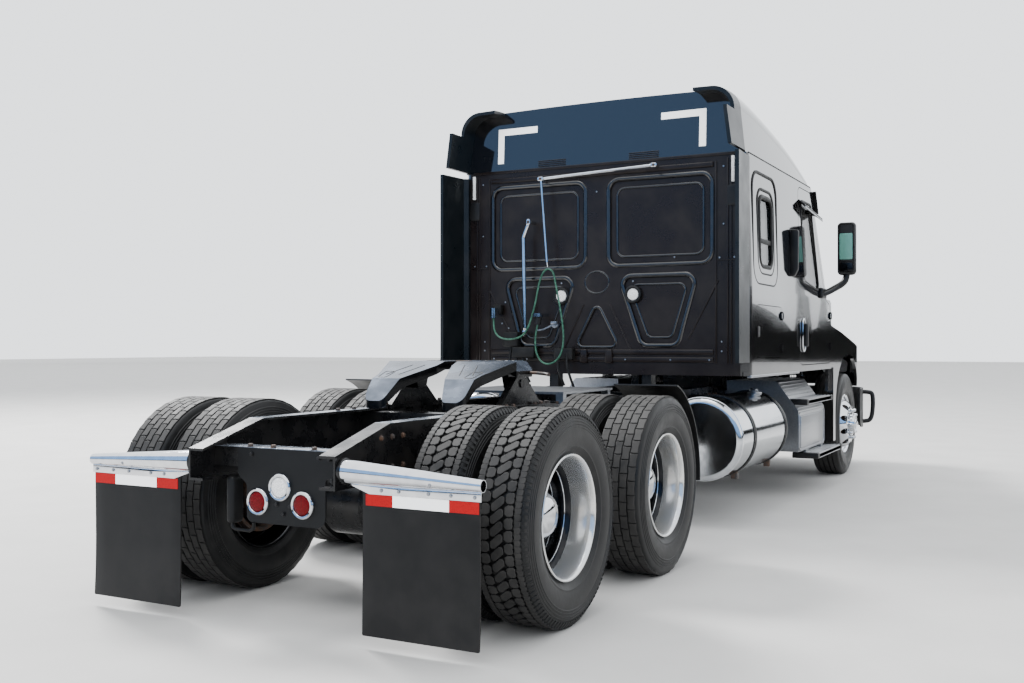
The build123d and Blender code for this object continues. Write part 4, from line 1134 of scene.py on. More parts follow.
    def rib_tyre(self):
        """Five straight ribs with four grooves."""
        top, depth, groove = TYRE_R, 0.011, 0.0055
        tread = [(0.4925, 0.1262), (0.5030, 0.1190), (0.5085, 0.1120)]
        for y in (0.072, 0.026):
            wall = [(top - 0.0012, groove + 0.0012), (top - 0.004, groove), (top - depth, groove * 0.5)]
            tread += [(r, y + u) for r, u in wall] + [(r, y - u) for r, u in reversed(wall)]
        return self.carcass("rib_tyre", tread)

    def execute(self, context):
        lugs, blocks, ribs = self.lug_tyre(), self.block_tyre(), self.rib_tyre()
        for end, x, seeds in (("rear", REAR_X, (blocks, lugs)), ("front", FRONT_X, (blocks, blocks))):
            for (side, word), seed in zip(SIDES, seeds):
                pair = []
                for y, spin in ((OUTER_Y, 0.0), (INNER_Y, self.INNER_SPIN)):
                    place = Matrix.Translation((x, side * y, AXLE_Z))
                    pair.append(copied(seed, "tyre", place @ half_turn(side) @ Matrix.Rotation(spin, 4, "Y")))
                piece, where = joined(f"tyres_{end}_{word}", pair), f"{end}_{word}"
                finished(piece, f"tyre_rubber_{end}", f"dual_wheels_{where}", [f"dual_tyres_{where}"])
        for side, word in SIDES:
            piece = copied(ribs, f"tyre_steer_{word}", Matrix.Translation((STEER_X, side * STEER_Y, AXLE_Z)))
            finished(piece, "tyre_rubber_steer", f"steer_wheel_{word}", [f"steer_tyre_{word}"])
        removed(lugs, blocks, ribs)
        return {"FINISHED"}


class DressNodes(bpy.types.Operator):
    """Gives each CAD node that stays its finish"""

    bl_idname = "tractor.nodes"
    bl_label = "Frame finishes"

    FINISHES = {
        "body_paint": [
            "cab_side_left", "cab_side_right", "door_left", "door_right", "locker_door_left",
            "locker_door_right", "roof", "cab_front", "hood",
        ],
        "extender_satin": ["side_extenders"],
        "wall_satin": ["back_wall"],
        "chassis_paint": [
            "frame", "steer_axle", "suspension", "drive_axles", "powertrain", "tank_straps",
            "fifth_wheel_base", "hood_arms", "tie_rod", "knuckle_left", "knuckle_right", "cab_floor",
        ],
        "greased_steel": ["fifth_wheel_plate"],
        "tank_metal": ["fuel_tanks"],
        "brushed_aluminium": ["step_boxes", "deck_plate"],
        "chrome_plate": ["cable_stand", "grille"],
        "plate_paint": ["lamp_plate"],
        "black_plastic": [
            "front_bumper", "quarter_fenders", "sun_visor", "dashboard", "cable_plug",
        ],
        "dark_glass": ["door_glass_left", "door_glass_right", "cab_glass"],
        "clear_lens": ["headlamps"],
    }

    def execute(self, context):
        for material, names in self.FINISHES.items():
            for name in names:
                slots = NODES[name].material_slots
                if not slots:
                    NODES[name].data.materials.append(finish(material))
                for slot in slots:
                    slot.material = finish(material)
        return {"FINISHED"}


class MakeWheels(bpy.types.Operator):
    """Polished rims with hand holes, hub covers, nut covers and brake drums"""

    bl_idname = "tractor.wheels"
    bl_label = "Wheels"

    # The steer rim's section: radius and distance from the tyre's middle, disc on the far side
    RIM = [
        (0.2975, 0.1100), (0.2980, 0.1150), (0.2955, 0.1180), (0.2915, 0.1183), (0.2875, 0.1165),
        (0.2845, 0.1120), (0.2815, 0.1070), (0.2780, 0.1040), (0.2768, 0.0980), (0.2765, 0.0700),
        (0.2745, 0.0630), (0.2600, 0.0520), (0.2500, 0.0430), (0.2472, 0.0340), (0.2470, -0.0400),
        (0.2455, -0.0530), (0.2400, -0.0700), (0.2300, -0.0920), (0.2190, -0.1130), (0.2070, -0.1300),
        (0.1960, -0.1420), (0.1860, -0.1485), (0.1750, -0.1502), (0.1100, -0.1502), (0.1082, -0.1520),
        (0.1082, -0.1702), (0.1100, -0.1720), (0.1880, -0.1720), (0.1990, -0.1665), (0.2130, -0.1540),
        (0.2270, -0.1340), (0.2390, -0.1120), (0.2475, -0.0850), (0.2520, -0.0740), (0.2760, -0.0860),
        (0.2768, -0.1040), (0.2845, -0.1120), (0.2915, -0.1178), (0.2980, -0.1150), (0.2975, -0.1090),
        (0.2860, -0.1030), (0.2860, -0.0850), (0.2560, -0.0630), (0.2560, 0.0450), (0.2860, 0.0660),
        (0.2860, 0.1030), (0.2975, 0.1100),
    ]
    # The drive rims: a bright barrel, and a disc with RIM's points 15 to 37 between its own, in dark gloss as
    # a painted shade over polished metal
    BARREL = [
        (0.2975, 0.1100), (0.2980, 0.1150), (0.2955, 0.1180), (0.2915, 0.1183), (0.2875, 0.1165),
        (0.2840, 0.1115), (0.2805, 0.1040), (0.2780, 0.0940), (0.2755, 0.0700), (0.2735, 0.0450),
        (0.2700, -0.0050), (0.2750, -0.0050), (0.2860, 0.0660), (0.2860, 0.1030), (0.2975, 0.1100),
    ]
    DISC = [
        (0.2700, -0.0051), (0.2600, -0.0120), (0.2500, -0.0260), *RIM[15:38],
        (0.2560, -0.0630), (0.2640, -0.0200), (0.2745, -0.0051), (0.2700, -0.0051),
    ]
    HOLES = 10
    HOLE_R = 0.030
    HOLE_RING = 0.207
    NUTS = 10
    NUT_RING = 0.1425
    NUT_HIGH = 0.046
    DISC_U = 0.172
    HUB_PROUD = 0.022
    # Rounded steps in the outer barrel, in chrome as painted highlights on the dark disc: radius, distance
    # from the tyre's middle and thickness
    BARREL_RINGS = ((0.2475, -0.030, 0.0025), (0.2330, -0.0850, 0.0025), (0.1950, -0.1410, 0.0030))
    # Brake drums: radius and distance from the truck's middle
    DRUM = [
        (0.096, 0.690), (0.096, 0.866), (0.190, 0.866), (0.190, 0.656), (0.196, 0.652), (0.210, 0.652),
        (0.213, 0.656), (0.213, 0.672), (0.206, 0.676), (0.206, 0.700), (0.210, 0.703), (0.210, 0.712),
        (0.206, 0.715), (0.205, 0.860), (0.192, 0.884), (0.115, 0.8885), (0.100, 0.8885), (0.100, 0.905),
        (0.046, 0.905), (0.046, 0.690), (0.096, 0.690),
    ]
    STEER_DRUM = [
        (0.082, 0.992), (0.082, 1.150), (0.190, 1.150), (0.190, 0.976), (0.210, 0.972), (0.213, 0.990),
        (0.206, 0.996), (0.206, 1.160), (0.190, 1.168), (0.120, 1.172), (0.120, 1.205), (0.042, 1.205),
        (0.042, 0.992), (0.082, 0.992),
    ]

    def rim(self, profile):
        """One rim, or its disc, about the origin, with its hand holes."""
        rim = lathe("rim", profile, steps=100)
        cutters = []
        for index in range(self.HOLES):
            angle = 2 * math.pi * (index + 0.5) / self.HOLES
            place = (self.HOLE_RING * math.cos(angle), -0.15, self.HOLE_RING * math.sin(angle))
            deselect()
            bpy.ops.mesh.primitive_cylinder_add(
                vertices=24, radius=self.HOLE_R, depth=0.12, location=place, rotation=(math.pi / 2, 0, 0),
            )
            cutters.append(settle(named("hole")))
        cutter = joined("holes", cutters)
        modified(rim, "BOOLEAN", object=cutter, operation="DIFFERENCE", solver="EXACT")
        removed(cutter)
        return smooth(rim, 30)

    def hub_cover(self):
        """A drive hub's domed cover, and chrome rings in its barrel that paint the highlights of its steps.
        """
        outer = DUAL_MOUNT_Y + self.HUB_PROUD
        pieces = [lathe("cover", [(radius, outer + out) for radius, out in (
            (0.118, 0.0), (0.118, 0.010), (0.110, 0.016), (0.1065, 0.080), (0.105, 0.131), (0.1075, 0.133),
            (0.1075, 0.140), (0.1035, 0.144), (0.094, 0.157), (0.078, 0.168), (0.055, 0.176), (0.028, 0.1805),
            (0.0, 0.182),
        )], steps=64)]
        for radius, u, thick in self.BARREL_RINGS:
            pieces.append(lathe("ring", [
                (radius + thick * math.cos(a), OUTER_Y + u + thick * math.sin(a))
                for a in (math.pi * step / 4 for step in range(9))
            ]))
        return joined("hub_cover", pieces)

    def steer_cover(self):
        """A steer hub's cap with a ring of tall nut covers on the disc's face."""
        face = STEER_Y + self.DISC_U
        hub = lathe("hub", [(radius, face + out) for radius, out in (
            (0.120, -0.004), (0.120, 0.010), (0.094, 0.016), (0.090, 0.040), (0.086, 0.050), (0.080, 0.053),
            (0.074, 0.0535), (0.070, 0.048), (0.050, 0.047), (0.046, 0.057), (0.030, 0.063), (0.0, 0.064),
        )], steps=64)
        high = self.NUT_HIGH
        nut = lathe("nut", [
            (0.0185, 0.000), (0.0185, 0.005), (0.0158, 0.008), (0.0152, high - 0.010), (0.0130, high - 0.003),
            (0.0080, high), (0.0, high + 0.001),
        ], steps=16)
        out = Matrix.Translation((self.NUT_RING, face, 0))
        nuts = repeated(nut, "nuts", [
            Matrix.Rotation(2 * math.pi * index / self.NUTS, 4, "Y") @ out for index in range(self.NUTS)
        ])
        return joined("steer_cover", [hub, nuts])

    def place_set(self, parts, end, x, body, stands_for):
        """An axle's parts on both sides, turned half round on the right. The first stands for the CAD rim."""
        for side, word in SIDES:
            place = Matrix.Translation((x, 0, AXLE_Z)) @ half_turn(side)
            for index, (seed, name, material) in enumerate(parts):
                node = [] if index else [f"{stands_for}_{word}"]
                finished(copied(seed, f"{name}_{end}_{word}", place), material, f"{body}_{word}", node)

    def execute(self, context):
        rim, disc = self.rim(self.RIM), self.rim(self.DISC)
        barrel = lathe("barrel", self.BARREL, steps=100)
        outer = Matrix.Translation((0, OUTER_Y, 0))
        inner = Matrix.Translation((0, INNER_Y, 0)) @ half_turn(-1)
        # The inner barrel joins the discs in dark gloss, a painted shade
        discs = joined("discs", [
            copied(disc, "disc", outer), copied(disc, "disc", inner), copied(barrel, "barrel", inner),
        ])
        dual = (
            (copied(barrel, "barrels", outer), "rims", "barrel_metal"), (discs, "rim_discs", "disc_gloss"),
            (self.hub_cover(), "hub_cover", "chrome_plate"),
            (lathe("drum", self.DRUM, steps=64), "brake_drum", "drum_iron"),
        )
        for end, x in (("rear", REAR_X), ("front", FRONT_X)):
            self.place_set(dual, end, x, f"dual_wheels_{end}", f"dual_rims_{end}")
        turned_rim = copied(rim, "steer_rim", Matrix.Translation((0, STEER_Y, 0)) @ half_turn(-1))
        steer = (
            (turned_rim, "rim", "polished_aluminium"), (self.steer_cover(), "hub_cover", "chrome_plate"),
            (lathe("steer_drum", self.STEER_DRUM, steps=64), "brake_drum", "drum_iron"),
        )
        self.place_set(steer, "steer", STEER_X, "steer_wheel", "steer_rim")
        removed(rim, disc, barrel, *(part[0] for part in dual + steer))
        return {"FINISHED"}


class MakeTail(bpy.types.Operator):
    """Flap hangers, mud flaps with their tape, tail lamps and the frame's fastenings"""

    bl_idname = "tractor.tail"
    bl_label = "Tail"

    # Flap hangers: a round bar from the rail to its tip
    ROOT_R = 0.0545
    TIP_R = 0.0265
    TIP_Z = 0.7375
    PLUG_DEEP = 0.070
    # Flaps: inner and outer edge, cuts up and across, and the tapes along the top
    FLAP_Y = (0.537, 1.125)
    FLAP_CUTS = (13, 8)
    TAPE_TOP = 0.670
    TAPE_HIGH = 0.050
    TAPES = {"red_tape": ((0.555, 0.695), (0.978, 1.122)), "white_tape": ((0.695, 0.978),)}
    LAMPS = (("clear_lens", 0.0, 0.652), ("red_lens", 0.133, 0.577), ("red_lens", -0.133, 0.577))
    PLATE_BOLTS = (
        (-0.058, 0.566), (0.022, 0.572), (-0.018, 0.528), (0.175, 0.800), (-0.225, 0.800), (-0.285, 0.795),
        (-0.300, 0.700),
    )
    # Bolts on the rails: first X and count of each group on the web with their rows' Z, the X of those on the
    # top flange with their Y and Z, and the Y of those on the cross member with their X and Z
    WEB_BOLTS = ((-4.05, 3), (-3.10, 4), (-2.10, 4), (-1.45, 3), (-0.95, 4), (0.75, 5), (2.3, 6), (3.3, 5))
    WEB_PITCH = 0.09
    WEB_ROWS = (0.745, 0.885)
    TOP_BOLTS = (-3.30, -3.15, -2.62, -2.48, -2.05, -1.28)
    TOP_ROW = (0.385, 0.948)
    CROSS_BOLTS = (0.19, -0.19, 0.05)
    CROSS_ROW = (-4.24, 0.834)

    def hangers(self):
        """Tapered round hangers, hollow at their ends, with dark collars and bolted clamp strips."""
        x = (HANGER_BOX[0].x + HANGER_BOX[1].x) / 2
        y0, y1 = RAIL_BOX[1].y + 0.001, HANGER_BOX[1].y - 0.001
        root, tip, root_z = self.ROOT_R, self.TIP_R, HANGER_BOX[0].z + self.ROOT_R
        shell = lathe("hanger", [
            (root, y0), (tip, y1), (tip - 0.0025, y1), (tip - 0.001, y1 - 0.090), (0.0, y1 - 0.090),
        ], steps=48)
        for vertex in shell.data.vertices:
            share = (vertex.co.y - y0) / (y1 - y0)
            vertex.co.x += x
            vertex.co.z += root_z + (self.TIP_Z - root_z) * share
        smooth(shell, 40)
        strip = plate("strip", [
            (0.470, 0.706), (0.575, 0.670), (1.134, 0.672), (1.134, 0.714), (0.500, 0.712),
        ], "X", x - 0.010, x - 0.004, 0.0015)
        foot = cuboid("foot", (x - 0.012, 0.520, 0.707), (x + 0.010, 1.132, 0.711), 0.0015)
        finished(
            mirrored_joined("hangers", [shell, strip, foot]), "polished_aluminium", replaces=["flap_hangers"],
        )
        collar = lathe("collar", [
            (0.0, y0), (root + 0.003, y0), (root + 0.004, y0 + 0.003), (root + 0.004, y0 + 0.014),
            (root + 0.001, y0 + 0.018), (0.0, y0 + 0.018),
        ], (x, 0, root_z - 0.001), steps=48)
        plug_y = y1 - self.PLUG_DEEP
        plug = lathe("plug", [(tip - 0.003, plug_y), (0.0, plug_y)], (x, 0, self.TIP_Z), steps=24)
        finished(mirrored_joined("hanger_collars", [collar, plug]), "chassis_paint")
        places = [(x - 0.010, side * y, 0.690) for side, _ in SIDES for y in (0.64, 0.73, 0.88, 0.99, 1.105)]
        places += [(x - 0.031, side * 0.90, 0.733) for side, _ in SIDES]
        finished(bolts("hanger_bolts", places, "-X", 0.0065, 0.005), "brushed_aluminium")

    def flaps(self):
        """Slightly bowed rubber flaps with their tapes."""
        x = (FLAP_BOX[0].x + FLAP_BOX[1].x) / 2
        low, high = FLAP_BOX[0].z, FLAP_BOX[1].z
        y0, y1 = self.FLAP_Y
        rows, columns = self.FLAP_CUTS
        outline = rounded(rectangle(y0, low, y1, high), 0.006, 2)
        flap = plate("flap", outline, "X", x - 0.004, x + 0.004, 0.001)
        activate(flap)
        bpy.ops.object.mode_set(mode="EDIT")
        cuts = [((x, 0.8, low + (high - low) * row / rows), (0, 0, 1)) for row in range(1, rows)]
        cuts += [((x, y0 + (y1 - y0) * column / columns, 0.4), (0, 1, 0)) for column in range(1, columns)]
        for place, normal in cuts:
            bpy.ops.mesh.select_all(action="SELECT")
            bpy.ops.mesh.bisect(plane_co=place, plane_no=normal)
        bpy.ops.object.mode_set(mode="OBJECT")
        for vertex in flap.data.vertices:
            down = (high - vertex.co.z) / (high - low)
            across = (vertex.co.y - 0.83) / 0.29
            vertex.co.x += 0.010 * down * math.sin(3 * down) * (0.6 + 0.4 * across) - 0.006 * down * down
        smooth(flap)
        finished(mirrored_joined("flaps", [flap]), "flap_rubber", replaces=["mud_flaps"])
        top, foot = self.TAPE_TOP, self.TAPE_TOP - self.TAPE_HIGH
        for material, spans in self.TAPES.items():
            tapes = [cuboid("tape", (x - 0.0062, a, foot), (x - 0.0038, b, top), 0) for a, b in spans]
            finished(mirrored_joined(material + "_strip", tapes), material)

    def lamps(self):
        """Round lamps, each a chrome bezel and a domed lens, and the lamp plate's bolts."""
        plate_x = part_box("lamp_plate")[0].x
        bezels = []
        for index, (material, y, z) in enumerate(self.LAMPS):
            centre = (plate_x, y, z)
            bezels.append(lathe("bezel", [
                (0.066, 0.0), (0.066, -0.007), (0.0635, -0.013), (0.0580, -0.0165), (0.0510, -0.0150),
                (0.0470, -0.0100), (0.0460, 0.0), (0.066, 0.0),
            ], centre, "X", 64))
            lens_piece = lathe("lens", [
                (0.0458, -0.001), (0.0458, -0.010), (0.043, -0.0125), (0.034, -0.0145), (0.018, -0.0155),
                (0.0, -0.016),
            ], centre, "X", 48)
            node = [] if index else ["rear_lamps"]
            finished(lens_piece, material, replaces=node).name = f"tail_lens_{index}"
        finished(joined("tail_bezels", bezels), "chrome_plate")
        marks = [(plate_x - 0.001, y, z) for y, z in self.PLATE_BOLTS]
        finished(bolts("plate_bolts", marks, "-X", 0.009, 0.007), "black_plastic")

    def brackets(self):
        """The tow bracket with its hook, and painted highlights: a pale flange on the cross member and pale
        skins on the rails.
        """
        tail_x = RAIL_BOX[0].x
        tow_x = tail_x + 0.150
        hook = tube("hook", [(tow_x, y, z) for y, z in (
            (0.295, 0.470), (0.292, 0.446), (0.275, 0.436), (0.190, 0.434), (0.165, 0.445), (0.160, 0.476),
        )], 0.009, sides=2)
        tow = cuboid("tow", (tow_x - 0.025, 0.270, 0.462), (tow_x + 0.060, 0.318, 0.690), 0.020, 4)
        finished(joined("tail_brackets", [hook, tow]), "plate_paint")
        # Painted highlight: a thin pale slab on the cross member's top
        flange = cuboid("flange", (tail_x + 0.146, -0.405, 0.8295), (tail_x + 0.250, 0.405, 0.8345), 0.002)
        finished(flange, "edge_paint")
        self.rail_edges()

    def rail_edges(self):
        """Painted highlights: thin pale skins on the rails' top flanges."""
        side_y, top, drop, thick = RAIL_BOX[1].y, RAIL_TOP - 0.0005, 0.118, 0.0012
        x0, x1, x2 = RAIL_BOX[0].x + 0.004, RAIL_BOX[0].x + 0.424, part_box("fifth_wheel_base")[0].x - 0.002
        y0, y1 = side_y - 0.087, side_y - 0.001
        level = cuboid("skin", (x1 + 0.001, y0, top), (x2, y1, top + thick), 0)
        slope = plate("skin", [
            (x0, top - drop), (x1, top), (x1, top + thick), (x0, top - drop + thick),
        ], "Y", y0, y1, 0)
        finished(mirrored_joined("rail_skins", [level, slope]), "edge_paint")

    def fastenings(self):
        """Bolt rows along the rails' webs and flanges."""
        rows = [
            (first + self.WEB_PITCH * index, RAIL_BOX[1].y, z)
            for first, count in self.WEB_BOLTS for index in range(count) for z in self.WEB_ROWS
        ]
        webs = both_sides(bolts("rail_bolts", rows, "Y", 0.011, 0.009), "rail_bolts")
        y, z = self.TOP_ROW
        top = [(x, side * y, z) for side, _ in SIDES for x in self.TOP_BOLTS]
        x, z = self.CROSS_ROW
        top += [(x, y, z) for y in self.CROSS_BOLTS]
        finished(joined("frame_bolts", [*webs, bolts("top_bolts", top, "Z", 0.013, 0.012)]), "drum_iron")

    def execute(self, context):
        self.hangers()
        self.flaps()
        self.lamps()
        self.brackets()
        self.fastenings()
        return {"FINISHED"}


class MakeBackWall(bpy.types.Operator):
    """The back wall's beads, ribs, bolts, lamps, post trim, air lines and tube ends"""

    bl_idname = "tractor.back_wall"
    bl_label = "Back wall"

    # Pressings of the left half, each with the outline of the bead inside it, and the one in the middle
    UPPER = rectangle(0.110, 1.935, 0.905, 2.570)
    UPPER_INSIDE = rectangle(0.165, 1.990, 0.850, 2.515)
    LOWER = [(0.192, 1.830), (0.795, 1.830), (0.640, 1.325), (0.380, 1.325)]
    LOWER_INSIDE = [(0.262, 1.775), (0.728, 1.775), (0.605, 1.372), (0.418, 1.372)]
    MIDDLE = [(0.0, 1.655), (-0.185, 1.300), (0.185, 1.300)]
    RING_Z = 1.800
    RING_HALF = (0.100, 0.085)
    BRACES = (((0.11, 1.63), (0.29, 1.26)), ((0.965, 1.79), (0.735, 1.36)))
    RAILS = (1.262, 1.205, 2.640)
    RAIL_HALF = 0.93
    BOSS_Y = 0.105
    POST_Y = 1.080
    SEAMS = ((0.948, 2.66), (1.036, 2.68), (1.062, 2.68))
    LAMP_PLACES = (0.300, -0.300)
    LAMP_Z = 1.700
    # Small bolts: in a row along the foot, on both sides, and single ones
    FOOT_BOLTS = (0.24, 0.60, 0.90)
    SIDE_BOLTS = (
        (0.975, 1.955), (1.085, 1.955), (0.99, 1.34), (0.99, 1.27), (0.63, 1.97), (0.30, 1.80), (1.005, 2.20),
        (1.005, 2.62),
    )
    SINGLE_BOLTS = ((0.80, 1.66), (0.74, 1.60), (0.83, 1.49), (0.77, 1.45), (0.52, 1.22), (0.0, 2.50))
    # Valves: how far each stands out, its two Y and two Z and its edge. Lines: their Y and foot.
    VALVES = (
        (0.075, 0.655, 0.790, 1.300, 1.420, 0.012), (0.060, 0.815, 0.885, 1.560, 1.640, 0.010),
        (0.090, 0.500, 0.700, 1.215, 1.300, 0.010), (0.070, 0.180, 0.340, 1.200, 1.290, 0.010),
    )
    LINES = ((0.60, 1.02), (0.66, 1.00), (0.72, 1.03), (0.22, 0.99), (0.30, 1.00))
    # Ends of the chrome tubes: Y, Z, half width and half height
    TUBE_ENDS = (
        (0.437, 2.617, 0.026, 0.016), (-0.501, 2.654, 0.026, 0.016), (0.543, 2.285, 0.016, 0.024),
        (0.578, 1.410, 0.016, 0.024),
    )

    def bead(self, outline, radius, out, grow=0.0):
        """A raised bead along a closed outline, as far out from the wall and grown as told."""
        x = WALL_X + out
        centre = Vector([sum(values) / len(outline) for values in zip(*outline)])
        points = []
        for y, z in outline:
            way = Vector((y, z)) - centre
            points.append((x, y + math.copysign(grow, way.x), z + math.copysign(grow, way.y)))
        bead = tube("bead", points, radius, closed=True, sides=2)
        bead.data.transform(squeezed((0.6, 1, 1), (x, 0, 0)))
        return bead

    def beads(self):
        """Rolled edges round each pressing."""
        found = []
        for side, _ in SIDES:
            for outline, corner, steps, radius, out, grow in (
                (self.UPPER, 0.085, 7, 0.019, 0.003, 0.014), (self.UPPER_INSIDE, 0.06, 6, 0.010, 0.013, 0.0),
                (self.LOWER, 0.075, 7, 0.020, 0.003, 0.014), (self.LOWER_INSIDE, 0.05, 6, 0.010, 0.013, 0.0),
            ):
                points = rounded([(side * y, z) for y, z in outline][::side], corner, steps)
                found.append(self.bead(points, radius, out, grow))
        found.append(self.bead(rounded(self.MIDDLE, 0.04, 5), 0.013, 0.002))
        half_y, half_z = self.RING_HALF
        ring = [
            (half_y * math.cos(a), self.RING_Z + half_z * math.sin(a))
            for a in (2 * math.pi * index / 28 for index in range(28))
        ]
        found.append(self.bead(ring, 0.007, 0.001))
        finished(joined("wall_beads", found), "bead_gloss")

    def ribs(self):
        """Braces, rails and seams between the pressings, and two bosses at the foot."""
        found = []
        for side, _ in SIDES:
            for brace in self.BRACES:
                found.append(tube("brace", [(WALL_X + 0.001, side * y, z) for y, z in brace], 0.008, sides=2))
            for y, high in self.SEAMS:
                low, top = (WALL_X - 0.008, side * y - 0.006, 1.180), (WALL_X + 0.004, side * y + 0.006, high)
                found.append(cuboid("seam", low, top, 0.003))
            joint = [(side * y, z) for y, z in rectangle(0.96, 1.934, 1.12, 1.942)][::side]
            found.append(plate("step_joint", joint, "X", WALL_X - 0.010, WALL_X + 0.002, 0.001))
            y = side * self.BOSS_Y
            low, top = (WALL_X - 0.030, y - 0.030, 1.175), (WALL_X, y + 0.030, 1.285)
            found.append(cuboid("boss", low, top, 0.012, 3))
        for z in self.RAILS:
            low = (WALL_X - 0.012, -self.RAIL_HALF, z - 0.020)
            top = (WALL_X + 0.004, self.RAIL_HALF, z + 0.020)
            found.append(cuboid("rail", low, top, 0.009, 3))
        finished(joined("wall_ribs", found), "wall_satin")

    def small_bolts(self):
        """Small bolt heads along the wall's foot, on both sides, and single ones."""
        places = [(WALL_X - 0.013, side * y, 1.205) for side, _ in SIDES for y in self.FOOT_BOLTS]
        places += [(WALL_X - 0.003, side * y, z) for side, _ in SIDES for y, z in self.SIDE_BOLTS]
        places += [(WALL_X - 0.003, y, z) for y, z in self.SINGLE_BOLTS]
        finished(bolts("wall_bolts", places, "-X", 0.0048, 0.004), "brushed_aluminium")

    def wall_lamps(self):
        """Round work lamps in dark bezels."""
        bezels, lenses = [], []
        for y in self.LAMP_PLACES:
            centre = (WALL_X + 0.014, y, self.LAMP_Z)
            bezels.append(lathe("bezel", [
                (0.070, 0.0), (0.070, -0.020), (0.066, -0.030), (0.056, -0.034), (0.0480, -0.031),
                (0.0450, -0.020), (0.0450, 0.0), (0.070, 0.0),
            ], centre, "X", 48))
            lenses.append(lathe("lens", [
                (0.0448, -0.004), (0.0448, -0.022), (0.041, -0.026), (0.026, -0.029), (0.0, -0.030),
            ], centre, "X", 48))
        finished(joined("work_bezels", bezels), "black_plastic")
        finished(joined("work_lenses", lenses), "clear_lens")

    def posts(self):
        """Marker strips and bracket plates on the corner posts."""
        strips, brackets = [], []
        for side, _ in SIDES:
            y = side * self.POST_Y
            low, high = (WALL_X - 0.026, y - 0.012, 2.500), (WALL_X - 0.010, y + 0.012, 2.690)
            strips.append(cuboid("marker", low, high, 0.005))
            outline = rounded(rectangle(y - 0.045, 2.330, y + 0.045, 2.480), 0.020, 4)
            brackets.append(plate("bracket", outline, "X", WALL_X - 0.016, WALL_X - 0.002, 0.003))
        finished(joined("post_markers", strips), "clear_lens")
        finished(joined("post_brackets", brackets), "black_plastic")

    def air_lines(self):
        """The parked air coupling on its arm, and the valves with the lines that go down behind the cab."""
        x, y, z = WALL_X - 0.05, 0.33, 1.470
        coupling = lathe("coupling", [
            (0.0, -0.024), (0.020, -0.022), (0.025, -0.016), (0.025, 0.0), (0.020, 0.005), (0.012, 0.008),
            (0.012, 0.022), (0.0, 0.023),
        ], (x, y, z), "X", 24)
        arm = tube("arm", [
            (x - 0.02, 0.475, 1.430), (x - 0.02, 0.425, 1.438), (x - 0.015, 0.36, 1.465), (x, y, z + 0.005),
        ], 0.008)
        head = cuboid("head", (x - 0.036, 0.305, 1.474), (x - 0.008, 0.358, 1.500), 0.005)
        # The coupling takes the paint with a painted sky highlight
        finished(joined("air_coupling", [coupling, arm, head]), "edge_paint")
        found = [
            cuboid("valve", (WALL_X - out, y0, z0), (WALL_X - 0.004, y1, z1), edge, 3)
            for out, y0, y1, z0, z1, edge in self.VALVES
        ]
        for y, foot in self.LINES:
            found.append(tube("line", [
                (WALL_X - 0.05, y, 1.30), (WALL_X - 0.075, y + 0.01, 1.20), (WALL_X - 0.09, y - 0.02, 1.10),
                (WALL_X - 0.06, y - 0.05, foot),
            ], 0.010, kind="NURBS", sides=2))
        finished(joined("valves_and_lines", found), "black_rubber")

    def tubes(self):
        """Flattened, bolted ends on the chrome tubes."""
        ends = []
        for y, z, half_y, half_z in self.TUBE_ENDS:
            outline = rounded(rectangle(y - half_y, z - half_z, y + half_y, z + half_z), 0.0155, 5)
            ends.append(plate("end", outline, "X", WALL_X - 0.106, WALL_X - 0.092, 0.003))
        finished(joined("tube_ends", ends), "chrome_plate")
        places = [(WALL_X - 0.107, y, z) for y, z, *_ in self.TUBE_ENDS]
        finished(bolts("tube_bolts", places, "-X", 0.008, 0.006), "drum_iron")

    def execute(self, context):
        self.beads()
        self.ribs()
        self.small_bolts()
        self.wall_lamps()
        self.posts()
        self.air_lines()
        self.tubes()
        return {"FINISHED"}


